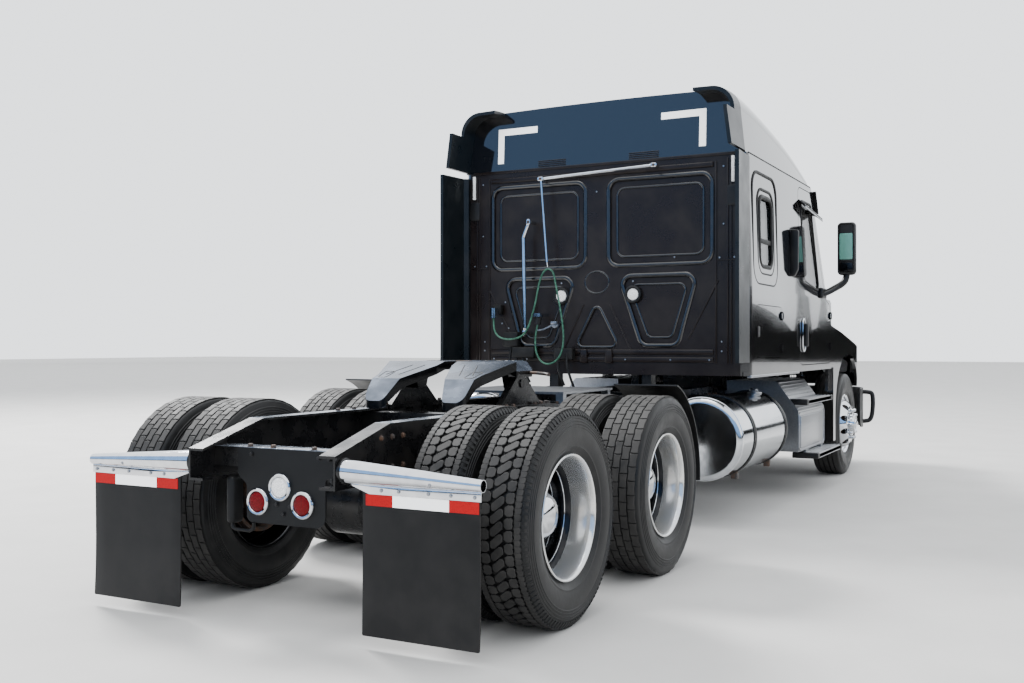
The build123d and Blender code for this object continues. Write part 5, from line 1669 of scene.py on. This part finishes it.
class MakeRoofTrim(bpy.types.Operator):
    """Corner reflectors, vents, the seam strip and the front marker lamps"""

    bl_idname = "tractor.roof_trim"
    bl_label = "Roof trim"

    # Corner tapes: their outer corner, the length along the top, down the side, and the width
    CORNER = (0.870, 3.060)
    ARM = 0.350
    DROP = 0.280
    WIDE = 0.052
    # The cap's back leans forward above the seam
    LEAN = 30 / 585
    SEAM_Z = 2.715
    VENTS = 4
    VENT_Y = 0.385
    VENT_Z = 2.728
    VENT_PITCH = 0.014
    MARKERS = (-0.62, -0.31, 0.0, 0.31, 0.62)

    def back_x(self, z):
        """X of the roof cap's back at a height."""
        return WALL_X + max(0.0, z - self.SEAM_Z) * self.LEAN

    def corner_tapes(self):
        y, z = self.CORNER
        outline = [
            (y, z), (y - self.ARM, z), (y - self.ARM, z - self.WIDE), (y - self.WIDE, z - self.WIDE),
            (y - self.WIDE, z - self.DROP), (y, z - self.DROP),
        ]
        tapes = []
        for side, _ in SIDES:
            piece = plate("corner_tape", [(side * a, b) for a, b in outline][::-side], "X", -0.002, 0.0, 0.0)
            for vertex in piece.data.vertices:
                vertex.co.x += self.back_x(vertex.co.z) - 0.0005
            tapes.append(piece)
        finished(joined("corner_tapes", tapes), "white_tape")

    def vents(self):
        """The seam strip, and two stacks of vent slats above it."""
        found = [cuboid("seam_strip", (WALL_X - 0.008, -1.10, 2.700), (WALL_X + 0.004, 1.10, 2.722), 0.004)]
        for side, _ in SIDES:
            for index in range(self.VENTS):
                y, z = side * self.VENT_Y, self.VENT_Z + self.VENT_PITCH * index
                x = self.back_x(z)
                low, top = (x - 0.007, y - 0.12, z), (x + 0.004, y + 0.12, z + 0.007)
                found.append(cuboid("vent", low, top, 0.002, 1))
        finished(joined("roof_vents", found), "wall_satin")

    def markers(self):
        """Five low amber lamps on the roof's slope over the windscreen."""
        lamps = []
        slope = Matrix.Rotation(math.radians(17), 4, "Y") @ Matrix.Diagonal((1.2, 0.8, 1, 1))
        for y in self.MARKERS:
            profile = [(0.060, 0.0), (0.058, 0.016), (0.045, 0.030), (0.020, 0.037), (0.0, 0.038)]
            lamp = lathe("marker", profile, axis="Z", steps=24)
            lamp.data.transform(Matrix.Translation((1.62 - 0.05 * abs(y), y, 2.865 - 0.05 * y * y)) @ slope)
            lamps.append(lamp)
        finished(joined("roof_markers", lamps), "amber_lens")

    def execute(self, context):
        self.corner_tapes()
        self.vents()
        self.markers()
        return {"FINISHED"}


class MakeSideTrim(bpy.types.Operator):
    """Window gaskets, the seam, handles, latches, deflectors and sills on the cab's sides"""

    bl_idname = "tractor.side_trim"
    bl_label = "Side trim"

    BELT_Z = 1.740
    SEAM_Z = 2.715
    TUMBLE = 0.025
    # Lines round the sleeper window: name, outline of X and Z, radius and corner
    WINDOW_LINES = (
        ("gasket", rectangle(-0.245, 1.905, 0.112, 2.430), 0.019, 0.08),
        ("trim", rectangle(-0.300, 1.850, 0.167, 2.485), 0.012, 0.12),
        ("surround", rectangle(-0.430, 1.770, 0.262, 2.600), 0.0125, 0.14),
        ("lower", rectangle(-0.405, 1.795, 0.237, 1.868), 0.0085, 0.03),
    )
    HANDLE = rectangle(1.075, 1.262, 1.160, 1.538)
    HANDLE_CORNER = 0.042
    LATCH = rectangle(-0.335, 1.375, -0.285, 1.455)
    # Door deflectors: start, length, how far they stand out, and the height of their start
    DEFLECTOR_X = 1.045
    DEFLECTOR_LONG = 0.565
    DEFLECTOR_OUT = 0.085
    DEFLECTOR_Z = 2.552

    def side_y(self, z):
        """Y of the cab's left side at a height."""
        return CAB_HALF - self.TUMBLE * min(1.0, max(0.0, (z - self.BELT_Z) / (self.SEAM_Z - self.BELT_Z)))

    def outline_tube(self, name, points, radius, corner, proud=0.0, flat=0.6):
        """A gasket along a side outline of X and Z points, lying on the left side."""
        places = [(x, self.side_y(z) + proud, z) for x, z in rounded(points, corner, 6)]
        piece = tube(name, places, radius, closed=True, sides=2)
        piece.data.transform(squeezed((1, flat, 1), (0, self.side_y(2.2), 0)))
        return piece

    def windows(self):
        """Rubber gaskets round the sleeper and door windows and the locker doors' edges."""
        lines = [self.outline_tube(*line) for line in self.WINDOW_LINES]
        y = self.side_y(2.1)
        lines.append(cuboid("bar", (-0.245, y - 0.012, 2.082), (0.112, y - 0.002, 2.118), 0.004))
        y, z = self.side_y(self.SEAM_Z) + 0.001, self.SEAM_Z
        lines.append(tube("seam", [(x, y, z) for x in (WALL_X + 0.045, 0.4, 1.0, 1.50)], 0.0055, sides=2))
        finished(mirrored_joined("window_gaskets", lines), "black_rubber")
        low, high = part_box("locker_door_left")
        inset = 0.006
        outline = rectangle(low.x + inset, low.z + inset, high.x - inset, high.z - inset)
        sided(self.outline_tube("edge", outline, 0.0075, 0.06), "locker_edge", "black_rubber", "locker")
        low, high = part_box("door_glass_left")
        outline = [(1.200, 1.868), (1.790, 1.800), (high.x - 0.27, high.z), (low.x, high.z)]
        sided(self.outline_tube("seal", outline, 0.012, 0.055), "door_seal", "black_rubber", "door")

    def handles(self):
        """Oval door handles with a bright edge, and the black grab handles behind the doors."""
        y = self.side_y(1.4)
        pan = plate("pan", rounded(self.HANDLE, self.HANDLE_CORNER, 8), "Y", y - 0.004, y + 0.012, 0.006)
        grip = cuboid("grip", (1.096, y + 0.012, 1.300), (1.140, y + 0.048, 1.500), 0.016, 4)
        rim = self.outline_tube("rim", self.HANDLE, 0.0075, self.HANDLE_CORNER, 0.010, 1.0)
        sided(joined("handle", [pan, grip]), "door_handle", "black_plastic", "door")
        sided(rim, "handle_rim", "chrome_plate", "door")
        y = self.side_y(2.0)
        grab = plate("grab", rounded([
            (y - 0.004, 1.872), (y + 0.035, 1.884), (y + 0.062, 1.935), (y + 0.066, 2.262),
            (y - 0.004, 2.272),
        ], 0.018, 4), "X", 0.702, 0.742, 0.012)
        finished(mirrored_joined("grab_handles", [grab]), "black_plastic")

    def deflectors(self):
        """Rain deflectors over the door windows, falling forward, with a bright lower edge."""
        y = self.side_y(2.5)
        low, high = (self.DEFLECTOR_X, y - 0.002, -0.008), (1.610, y + self.DEFLECTOR_OUT, 0.008)
        visor = cuboid("deflector", low, high, 0.006, 3)
        edge = cuboid("edge", (1.060, y + 0.074, -0.022), (1.608, y + 0.088, -0.006), 0.005, 3)
        for piece in (visor, edge):
            for vertex in piece.data.vertices:
                out = max(0.0, (vertex.co.y - y) / self.DEFLECTOR_OUT)
                along = (vertex.co.x - self.DEFLECTOR_X) / self.DEFLECTOR_LONG
                vertex.co.z += self.DEFLECTOR_Z - 0.070 * along - 0.045 * out
                vertex.co.y -= 0.030 * (1 - along) * out
        sided(visor, "door_deflector", "black_plastic", "door")
        sided(edge, "deflector_edge", "brushed_aluminium", "door")

    def locks(self):
        """Latches on the locker doors, and the bright lower sills."""
        y = self.side_y(1.4)
        latch = plate("latch", rounded(self.LATCH, 0.015, 4), "Y", y - 0.002, y + 0.006, 0.003)
        sided(latch, "locker_latch", "black_plastic", "locker")
        sill = cuboid("sill", (WALL_X + 0.03, y - 0.030, 1.076), (0.985, y + 0.004, 1.096), 0.006, 3)
        finished(mirrored_joined("cab_sills", [sill]), "brushed_aluminium")

    def execute(self, context):
        self.windows()
        self.handles()
        self.deflectors()
        self.locks()
        return {"FINISHED"}


class MakeSteps(bpy.types.Operator):
    """Step treads with their ribs and black ends, and the box's raised panel"""

    bl_idname = "tractor.steps"
    bl_label = "Steps"

    # Two steps, upper and lower: first and last X, inner Y, how far inside the box's outer side, and bottom Z
    TREADS = ((1.240, 2.170, 1.000, 0.06, 0.800), (1.390, 2.320, 1.060, 0.0, 0.326))
    STEP_HIGH = 0.042
    END_LONG = 0.074
    RIBS = 7
    # The box's cover: a ribbed level part and a ribbed slope down to its face
    COVER_X = (1.185, 2.165)
    LEVEL_RIBS = 6
    SLOPE_RIBS = 9
    SLOPE_Y = 0.960
    SLOPE_RUN = 0.190
    SLOPE_TOP = 1.000
    SLOPE_DROP = 0.255
    BOX_FACE = 1.150

    def tread(self, x0, x1, y0, y1, z0, z1):
        """One aluminium step with long ribs on its top."""
        found = [cuboid("step", (x0, y0, z0), (x1, y1, z1), 0.006, 3)]
        for index in range(self.RIBS):
            y = y0 + (y1 - y0) * (index + 0.5) / self.RIBS
            low, high = (x0 + 0.02, y - 0.006, z1 - 0.002), (x1 - 0.02, y + 0.006, z1 + 0.0035)
            found.append(cuboid("rib", low, high, 0.002, 1))
        return found

    def cover_ribs(self):
        """Ribs along the box's slope and along its level top."""
        x0, x1 = self.COVER_X
        found = []
        slope = math.atan2(self.SLOPE_DROP, self.SLOPE_RUN)
        for index in range(self.SLOPE_RIBS):
            share = (index + 0.6) / (self.SLOPE_RIBS + 0.4)
            rib = cuboid("rib", (x0, -0.005, -0.002), (x1, 0.005, 0.006), 0.002, 1)
            place = (0, self.SLOPE_Y + self.SLOPE_RUN * share, self.SLOPE_TOP - self.SLOPE_DROP * share)
            rib.data.transform(Matrix.Translation(place) @ Matrix.Rotation(-slope, 4, "X"))
            found.append(rib)
        for index in range(self.LEVEL_RIBS):
            y = 0.56 + 0.065 * index
            found.append(cuboid("rib", (x0, y, 0.998), (x1, y + 0.012, 1.005), 0.002, 1))
        return found

    def execute(self, context):
        y_max, face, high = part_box("step_boxes")[1].y, self.BOX_FACE, self.STEP_HIGH
        treads, ends = [], []
        for x0, x1, y0, inside, z0 in self.TREADS:
            y1, z1, grow = y_max - inside, z0 + high, 0.004
            treads += self.tread(x0, x1, y0, y1, z0, z1)
            for x in (x0 - 0.068, x1 - 0.006):
                low, top = (x, y0 - grow, z0 - grow), (x + self.END_LONG, y1 + grow, z1 + grow)
                ends.append(cuboid("end", low, top, 0.008, 3))
        panel = cuboid("panel", (1.225, face - 0.004, 0.420), (2.130, face + 0.010, 0.700), 0.012, 3)
        outline = rounded(rectangle(1.180, 0.405, 2.175, 0.725), 0.03)
        edge = tube("frame_edge", [(x, face + 0.002, z) for x, z in outline], 0.007, closed=True, sides=2)
        treads += [*self.cover_ribs(), panel, edge]
        finished(mirrored_joined("step_treads", treads), "brushed_aluminium")
        finished(mirrored_joined("step_ends", ends), "black_plastic")
        return {"FINISHED"}


class MakeTank(bpy.types.Operator):
    """Tank end beads, filler necks with their caps, and the bands and clamps of the straps"""

    bl_idname = "tractor.tank"
    bl_label = "Tanks"

    END_INSET = 0.050
    FILLER_X = 0.25
    FILLER_LEAN = 22
    STRAPS = (-0.400, 0.520)

    def execute(self, context):
        low, high = TANK_BOX
        radius = (high.z - low.z) / 2
        y, z = high.y - radius, low.z + radius
        rings = [
            lathe("bead", [
                (radius - 0.004, -0.012), (radius + 0.003, -0.009), (radius + 0.0045, 0.0),
                (radius + 0.003, 0.009), (radius - 0.004, 0.012),
            ], (x, y, z), "X") for x in (low.x + self.END_INSET, high.x - self.END_INSET)
        ]
        finished(mirrored_joined("tank_trim", rings), "polished_aluminium")
        angle = math.radians(self.FILLER_LEAN)
        out = Vector((0, math.sin(angle), math.cos(angle)))
        place = Vector((self.FILLER_X, y, z)) + out * (radius - 0.004)
        neck = lathe("neck", [
            (0.056, 0.0), (0.056, 0.008), (0.042, 0.012), (0.042, 0.020), (0.047, 0.022), (0.050, 0.027),
            (0.050, 0.042), (0.045, 0.047), (0.016, 0.048), (0.014, 0.054), (0.0, 0.055),
        ], axis="Z", steps=48)
        lug = cuboid("lug", (-0.040, -0.006, 0.046), (0.040, 0.006, 0.058), 0.004)
        for piece in (neck, lug):
            piece.data.transform(Matrix.Translation(place) @ Matrix.Rotation(-angle, 4, "X"))
        finished(mirrored_joined("tank_fillers", [neck, lug]), "brushed_aluminium")
        inner, outer = radius + 0.0055, radius + 0.0080
        bands, clamps = [], []
        for x in self.STRAPS:
            bands.append(lathe("band", [
                (inner, -0.013), (outer, -0.012), (outer, 0.012), (inner, 0.013), (inner, -0.013),
            ], (x, y, z), "X"))
            foot = (x - 0.024, y + radius * 0.40, z - radius - 0.012)
            clamps.append(cuboid("clamp", foot, (x + 0.024, y + radius * 0.56, z - radius * 0.80), 0.005))
        finished(mirrored_joined("strap_bands", bands), "black_rubber")
        finished(mirrored_joined("strap_clamps", clamps), "drum_iron")
        return {"FINISHED"}


class MakeMirrors(bpy.types.Operator):
    """Mirror heads with a flat and a convex glass, and their arms"""

    bl_idname = "tractor.mirrors"
    bl_label = "Mirrors"

    HEAD_X = 1.925
    HEAD_DEEP = 0.095
    HEAD_WIDE = 0.168
    HEAD_HIGH = 0.485
    GLASS_EDGE = 0.026

    def head(self, y0, y1, z0, z1):
        """The housing, narrowed a little to its front's ends, with a rim and a bar between the glasses."""
        x = self.HEAD_X
        head = cuboid("head", (x, y0, z0), (x + self.HEAD_DEEP, y1, z1), 0.036, 6)
        middle = (y0 + y1) / 2
        for vertex in head.data.vertices:
            up = (vertex.co.z - z0) / (z1 - z0)
            forward = (vertex.co.x - x) / self.HEAD_DEEP
            vertex.co.y = middle + (vertex.co.y - middle) * (1 - 0.108 * forward * abs(up - 0.5))
        edge = rounded(rectangle(y0 + 0.014, z0 + 0.014, y1 - 0.014, z1 - 0.014), 0.028)
        rim = tube("rim", [(x - 0.001, y, z) for y, z in edge], 0.006, closed=True, sides=2)
        low, high = (x - 0.004, y0 + 0.016, z0 + 0.122), (x + 0.010, y1 - 0.016, z0 + 0.134)
        split = cuboid("split", low, high, 0.003)
        return [head, rim, split]

    def arms(self):
        """The bent arm, the brace under it and their foot on the door."""
        y = CAB_HALF
        arm = tube("arm", [
            (1.900, y - 0.012, 1.786), (1.905, y + 0.030, 1.790), (1.925, 1.300, 1.832),
            (1.955, 1.380, 1.880), (1.968, 1.405, 1.940), (1.970, 1.405, 2.000),
        ], 0.030, kind="NURBS", sides=5)
        foot = cuboid("foot", (1.790, y - 0.008, 1.742), (1.975, y + 0.028, 1.838), 0.016, 4)
        brace = tube("lower", [
            (1.820, y + 0.004, 1.770), (1.870, 1.262, 1.790), (1.930, 1.340, 1.846), (1.960, 1.392, 1.905),
        ], 0.020, kind="NURBS", sides=4)
        return [arm, foot, brace]

    def execute(self, context):
        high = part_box("mirror_left")[1]
        x, y0, y1, z0, z1 = self.HEAD_X, high.y - self.HEAD_WIDE, high.y, high.z - self.HEAD_HIGH, high.z
        housing = joined("mirror", self.head(y0, y1, z0, z1) + self.arms())
        left, right = y0 + self.GLASS_EDGE, y1 - self.GLASS_EDGE
        outline = rounded(rectangle(left, z0 + 0.142, right, z1 - 0.105), 0.012, 4)
        main = plate("main_glass", outline, "X", x - 0.0035, x + 0.004, 0.001)
        outline = rounded(rectangle(left, z0 + 0.030, right, z0 + 0.114), 0.022, 5)
        convex = plate("convex_glass", outline, "X", x - 0.0045, x + 0.004, 0.0025)
        sided(housing, "mirror_housing", "black_plastic", "door", "mirror")
        # The flat glass's teal-green is a painted reflection
        sided(main, "mirror_glass", "mirror_glass", "door")
        # The convex glass takes the dark gloss, a painted dark reflection
        sided(convex, "convex_glass", "disc_gloss", "door")
        return {"FINISHED"}


class MakeFront(bpy.types.Operator):
    """Grille rim and mesh, the bumper's intake, fog lamps and guards, and the wipers"""

    bl_idname = "tractor.front"
    bl_label = "Front"

    SURROUND = [(-0.486, 0.895), (0.486, 0.895), (0.414, 1.304), (-0.414, 1.304)]
    INTAKE = [(-0.42, 0.500), (0.42, 0.500), (0.36, 0.640), (-0.36, 0.640)]
    MESH_BARS = 34
    MESH_HALF = 0.44
    FOG_LAMP = (4.270, 0.840, 0.600)
    FOG_TURN = 37
    WIPERS = (0.30, -0.62)

    def grille(self):
        """A chrome rim that follows the hood's nose, with a post, over a mesh of upright bars."""
        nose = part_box("hood")[1].x
        outline = rounded(self.SURROUND, 0.07)
        rim = tube("rim", [(nose + 0.004, y, z) for y, z in outline], 0.014, closed=True, sides=4)
        for vertex in rim.data.vertices:
            vertex.co.x -= 0.10 * max(0.0, vertex.co.z - 1.02) + 0.12 * vertex.co.y ** 2
        post = cuboid("post", (nose - 0.030, -0.014, 0.905), (nose + 0.006, 0.014, 1.295), 0.005)
        finished(joined("grille_rim", [rim, post]), "chrome_plate", "hood")
        mesh = []
        for index in range(self.MESH_BARS):
            y = self.MESH_HALF * (2 * index / (self.MESH_BARS - 1) - 1)
            top = 1.280 - 0.05 * abs(y)
            mesh.append(cuboid("bar", (nose - 0.052, y - 0.0025, 0.915), (nose - 0.046, y + 0.0025, top), 0))
        finished(joined("grille_mesh", mesh), "black_plastic", "hood")

    def bumper(self):
        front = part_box("front_bumper")[1].x
        intake = plate("intake", rounded(self.INTAKE, 0.04), "X", front - 0.012, front + 0.003, 0.002)
        finished(intake, "black_rubber")
        fog = []
        x, y, z = self.FOG_LAMP
        for side, _ in SIDES:
            lamp = lathe("fog", [
                (0.056, -0.01), (0.056, 0.006), (0.050, 0.010), (0.046, 0.004), (0.030, 0.010), (0.0, 0.013),
            ], axis="X", steps=32)
            turn = Matrix.Rotation(side * math.radians(self.FOG_TURN), 4, "Z")
            lamp.data.transform(Matrix.Translation((x, side * y, z)) @ turn)
            fog.append(lamp)
        finished(joined("fog_lamps", fog), "clear_lens")
        guard = tube("guard", [
            (4.060, 1.165, 0.800), (4.070, 1.255, 0.800), (4.072, 1.285, 0.775), (4.072, 1.288, 0.640),
            (4.070, 1.270, 0.500), (4.055, 1.215, 0.478), (4.045, 1.150, 0.478),
        ], 0.024, kind="NURBS", sides=4)
        finished(mirrored_joined("bumper_guards", [guard]), "black_plastic")

    def execute(self, context):
        self.grille()
        self.bumper()
        wipers = [
            tube("wiper", [
                (2.190, y, 1.752), (2.205, y + 0.05, 1.790), (2.135, y + 0.36, 1.905),
                (2.080, y + 0.46, 1.935),
            ], 0.008, kind="NURBS", sides=2) for y in self.WIPERS
        ]
        finished(joined("wipers", wipers), "black_rubber")
        return {"FINISHED"}


class MakeFifthWheel(bpy.types.Operator):
    """Grease grooves with painted shade, jaw, lock rod and bolts on the fifth wheel"""

    bl_idname = "tractor.fifth_wheel"
    bl_label = "Fifth wheel"

    # The plate's front ahead of the kingpin, and its slope from a start down to its rear edge
    NOSE = 0.320
    SLOPE_START = -0.150
    KNEE = (-0.470, -0.095)
    # Grooves: radius round the kingpin and distance of their tails. Ridges, chrome arcs as painted glints:
    # radius, first and last degree.
    GROOVES = ((0.150, 0.083), (0.235, 0.170))
    RIDGES = ((0.272, 300, 322), (0.310, 302, 318), (0.345, 300, 312))
    ROD_DOWN = 0.062
    # Bolts on the base, fore and aft of the kingpin, and the Y of their outer row and of the inner end ones
    BASE_BOLTS = (-0.30, -0.22, -0.14, 0.14, 0.22, 0.30)
    BOLT_ROWS = (0.410, 0.362)

    def groove(self, points, closed=False):
        """A dark strip along points about the kingpin, on the plate's left side and its right: grease in a
        groove, with the groove's shade painted in.
        """
        slope = self.KNEE[1] / (self.KNEE[0] - self.SLOPE_START)
        found = []
        for side, _ in SIDES:
            path = [
                (self.pin_x + x, side * y, self.top - 0.0025 + slope * min(0.0, x - self.SLOPE_START))
                for x, y in points
            ]
            found.append(tube("groove", path, 0.0045, closed=closed, sides=2))
        return found

    def marks(self):
        """Dark grease strips with painted groove shade, and chrome ridges beside the kingpin on the right as
        painted glints.
        """
        found = []
        for reach, root in self.GROOVES:
            angles = [math.pi * step / 24 for step in range(4, 15)]
            arc = [(reach * math.cos(a), reach * math.sin(a)) for a in angles]
            found += self.groove(arc + [(-0.230, 0.055 + root), (-0.400, 0.122 + root)])
        pocket = [(-0.450, 0.262), (-0.450, 0.318), (-0.345, 0.330), (-0.345, 0.262)]
        found += self.groove(rounded(pocket, 0.012, 3), True)
        finished(joined("grease_grooves", found), "plate_paint", "fifth_wheel")
        # Painted highlight: chrome arcs where sun glints fall on the plate
        ridges = []
        for reach, start, end in self.RIDGES:
            angles = [math.radians(a) for a in range(start, end, 2)]
            arc = [(self.pin_x + reach * math.cos(a), reach * math.sin(a), self.top - 0.0015) for a in angles]
            ridges.append(tube("ridge", arc, 0.0035, sides=2))
        finished(joined("worn_ridges", ridges), "chrome_plate", "fifth_wheel")

    def execute(self, context):
        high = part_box("fifth_wheel_plate")[1]
        self.pin_x, self.top = high.x - self.NOSE, high.z
        self.marks()
        jaw = lathe("jaw", [
            (0.050, -0.010), (0.050, 0.0008), (0.046, 0.0015), (0.030, 0.0015), (0.0265, 0.0),
            (0.0265, -0.045), (0.050, -0.045), (0.050, -0.010),
        ], (self.pin_x, 0, self.top), "Z", 48)
        x, z = self.pin_x, self.top - self.ROD_DOWN
        rod = tube("lock_rod", [
            (x + 0.02, -0.28, z), (x + 0.02, -0.46, z - 0.004), (x + 0.02, -0.56, z - 0.012),
            (x - 0.03, -0.585, z - 0.014),
        ], 0.010, kind="NURBS")
        finished(joined("jaw_and_rod", [jaw, rod]), "drum_iron", "fifth_wheel")
        outer, inner = self.BOLT_ROWS
        heads = [(outer, dx) for dx in self.BASE_BOLTS] + [(inner, dx) for dx in self.BASE_BOLTS[::5]]
        places = [(x + dx, side * y, RAIL_TOP + 0.014) for side, _ in SIDES for y, dx in heads]
        finished(bolts("mount_bolts", places, "Z", 0.013, 0.012), "drum_iron")
        return {"FINISHED"}


class MakeInterior(bpy.types.Operator):
    """Padded seats on their posts, and the mattress on its base"""

    bl_idname = "tractor.interior"
    bl_label = "Interior"

    BUNK_HALF = 1.06
    SEATS = (0.560, -0.560)
    LEAN = -99

    def pad(self, name, low, high, crown, channels=0):
        """A crowned closed cushion with sewn channels across its top."""
        pad = cuboid(name, low, high, 0)
        modified(pad, "SUBSURF", subdivision_type="SIMPLE", levels=4, render_levels=4)
        low, high = Vector(low), Vector(high)
        middle, half = (low + high) / 2, (high - low) / 2
        for vertex in pad.data.vertices:
            share = [(vertex.co[i] - middle[i]) / half[i] for i in range(3)]
            lift = (1 - share[0] ** 4) * (1 - share[1] ** 4)
            sew = 0.0
            if channels:
                sew = 0.012 * max(0.0, math.cos(math.pi * channels * (share[1] + 1))) ** 8
            vertex.co.z += (crown - sew) * lift * max(0.0, share[2])
            pull = 1 - 0.06 * (share[0] ** 2 + share[1] ** 2) * share[2] ** 2
            vertex.co.x = middle.x + (vertex.co.x - middle.x) * pull
            vertex.co.y = middle.y + (vertex.co.y - middle.y) * pull
        modified(pad, "SUBSURF", levels=1, render_levels=1)
        return smooth(pad, 60)

    def bunk(self):
        low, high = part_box("bunk")
        half, top = self.BUNK_HALF, high.z
        foot, head = (low.x + 0.02, -half, top - 0.13), (high.x - 0.02, half, top - 0.03)
        mattress = self.pad("mattress", foot, head, 0.022, 5)
        finished(mattress, "seat_cloth")
        half += 0.025
        base = cuboid("bunk_base", (low.x, -half, low.z), (high.x - 0.004, half, top - 0.142), 0.01, 3)
        finished(base, "black_plastic", replaces=["bunk"])

    def seat(self, index, y):
        """A seat's cushion, back and headrest as padded pieces. Returns its post."""
        lean = Matrix.Rotation(math.radians(self.LEAN), 4, "Y")
        cushion = self.pad("cushion", (0.930, y - 0.25, 1.500), (1.420, y + 0.25, 1.600), 0.02, 2)
        back = self.pad("back", (0, y - 0.24, 0), (0.66, y + 0.24, 0.09), 0.03, 2)
        back.data.transform(Matrix.Translation((0.965, 0, 1.605)) @ lean)
        headrest = self.pad("rest", (0, y - 0.13, 0), (0.17, y + 0.13, 0.08), 0.015)
        headrest.data.transform(Matrix.Translation((0.858, 0, 2.268)) @ lean)
        for part, word in ((cushion, "cushion"), (back, "back"), (headrest, "headrest")):
            part.name = f"seat_{word}_{index}"
            finished(part, "seat_cloth")
        return cuboid("post", (0.945, y - 0.195, 1.142), (1.355, y + 0.195, 1.500), 0.03, 3)

    def execute(self, context):
        self.bunk()
        posts = [self.seat(index, y) for index, y in enumerate(self.SEATS)]
        finished(joined("seat_posts", posts), "black_plastic", replaces=["seats"])
        return {"FINISHED"}


STEPS = (
    MakeStage, MakeCable, DressNodes, MakeTyres, MakeWheels, MakeTail, MakeBackWall, MakeRoofTrim,
    MakeSideTrim, MakeSteps, MakeTank, MakeMirrors, MakeFront, MakeFifthWheel, MakeInterior,
)


class TractorPanel(bpy.types.Panel):
    """The sidebar's list of steps"""

    bl_idname = "TRACTOR_PT_steps"
    bl_label = "Tractor unit"
    bl_space_type = "VIEW_3D"
    bl_region_type = "UI"
    bl_category = "Tractor"

    def draw(self, context):
        for step in STEPS:
            self.layout.operator(step.bl_idname)
        for group in (settings().tyre, settings().paint, settings().stage):
            for name in group.__annotations__:
                self.layout.prop(group, name)


CLASSES = (TyreSizes, PaintColours, StageSizes, TractorSettings, *STEPS, TractorPanel)


def register():
    for item in CLASSES:
        bpy.utils.register_class(item)
    bpy.types.Scene.tractor = PointerProperty(type=TractorSettings)


def unregister():
    del bpy.types.Scene.tractor
    for item in reversed(CLASSES):
        bpy.utils.unregister_class(item)


def main():
    random.seed(7)
    register()
    for step in STEPS:
        group, action = step.bl_idname.split(".")
        getattr(getattr(bpy.ops, group), action)()
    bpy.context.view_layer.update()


if __name__ == "__main__":
    main()
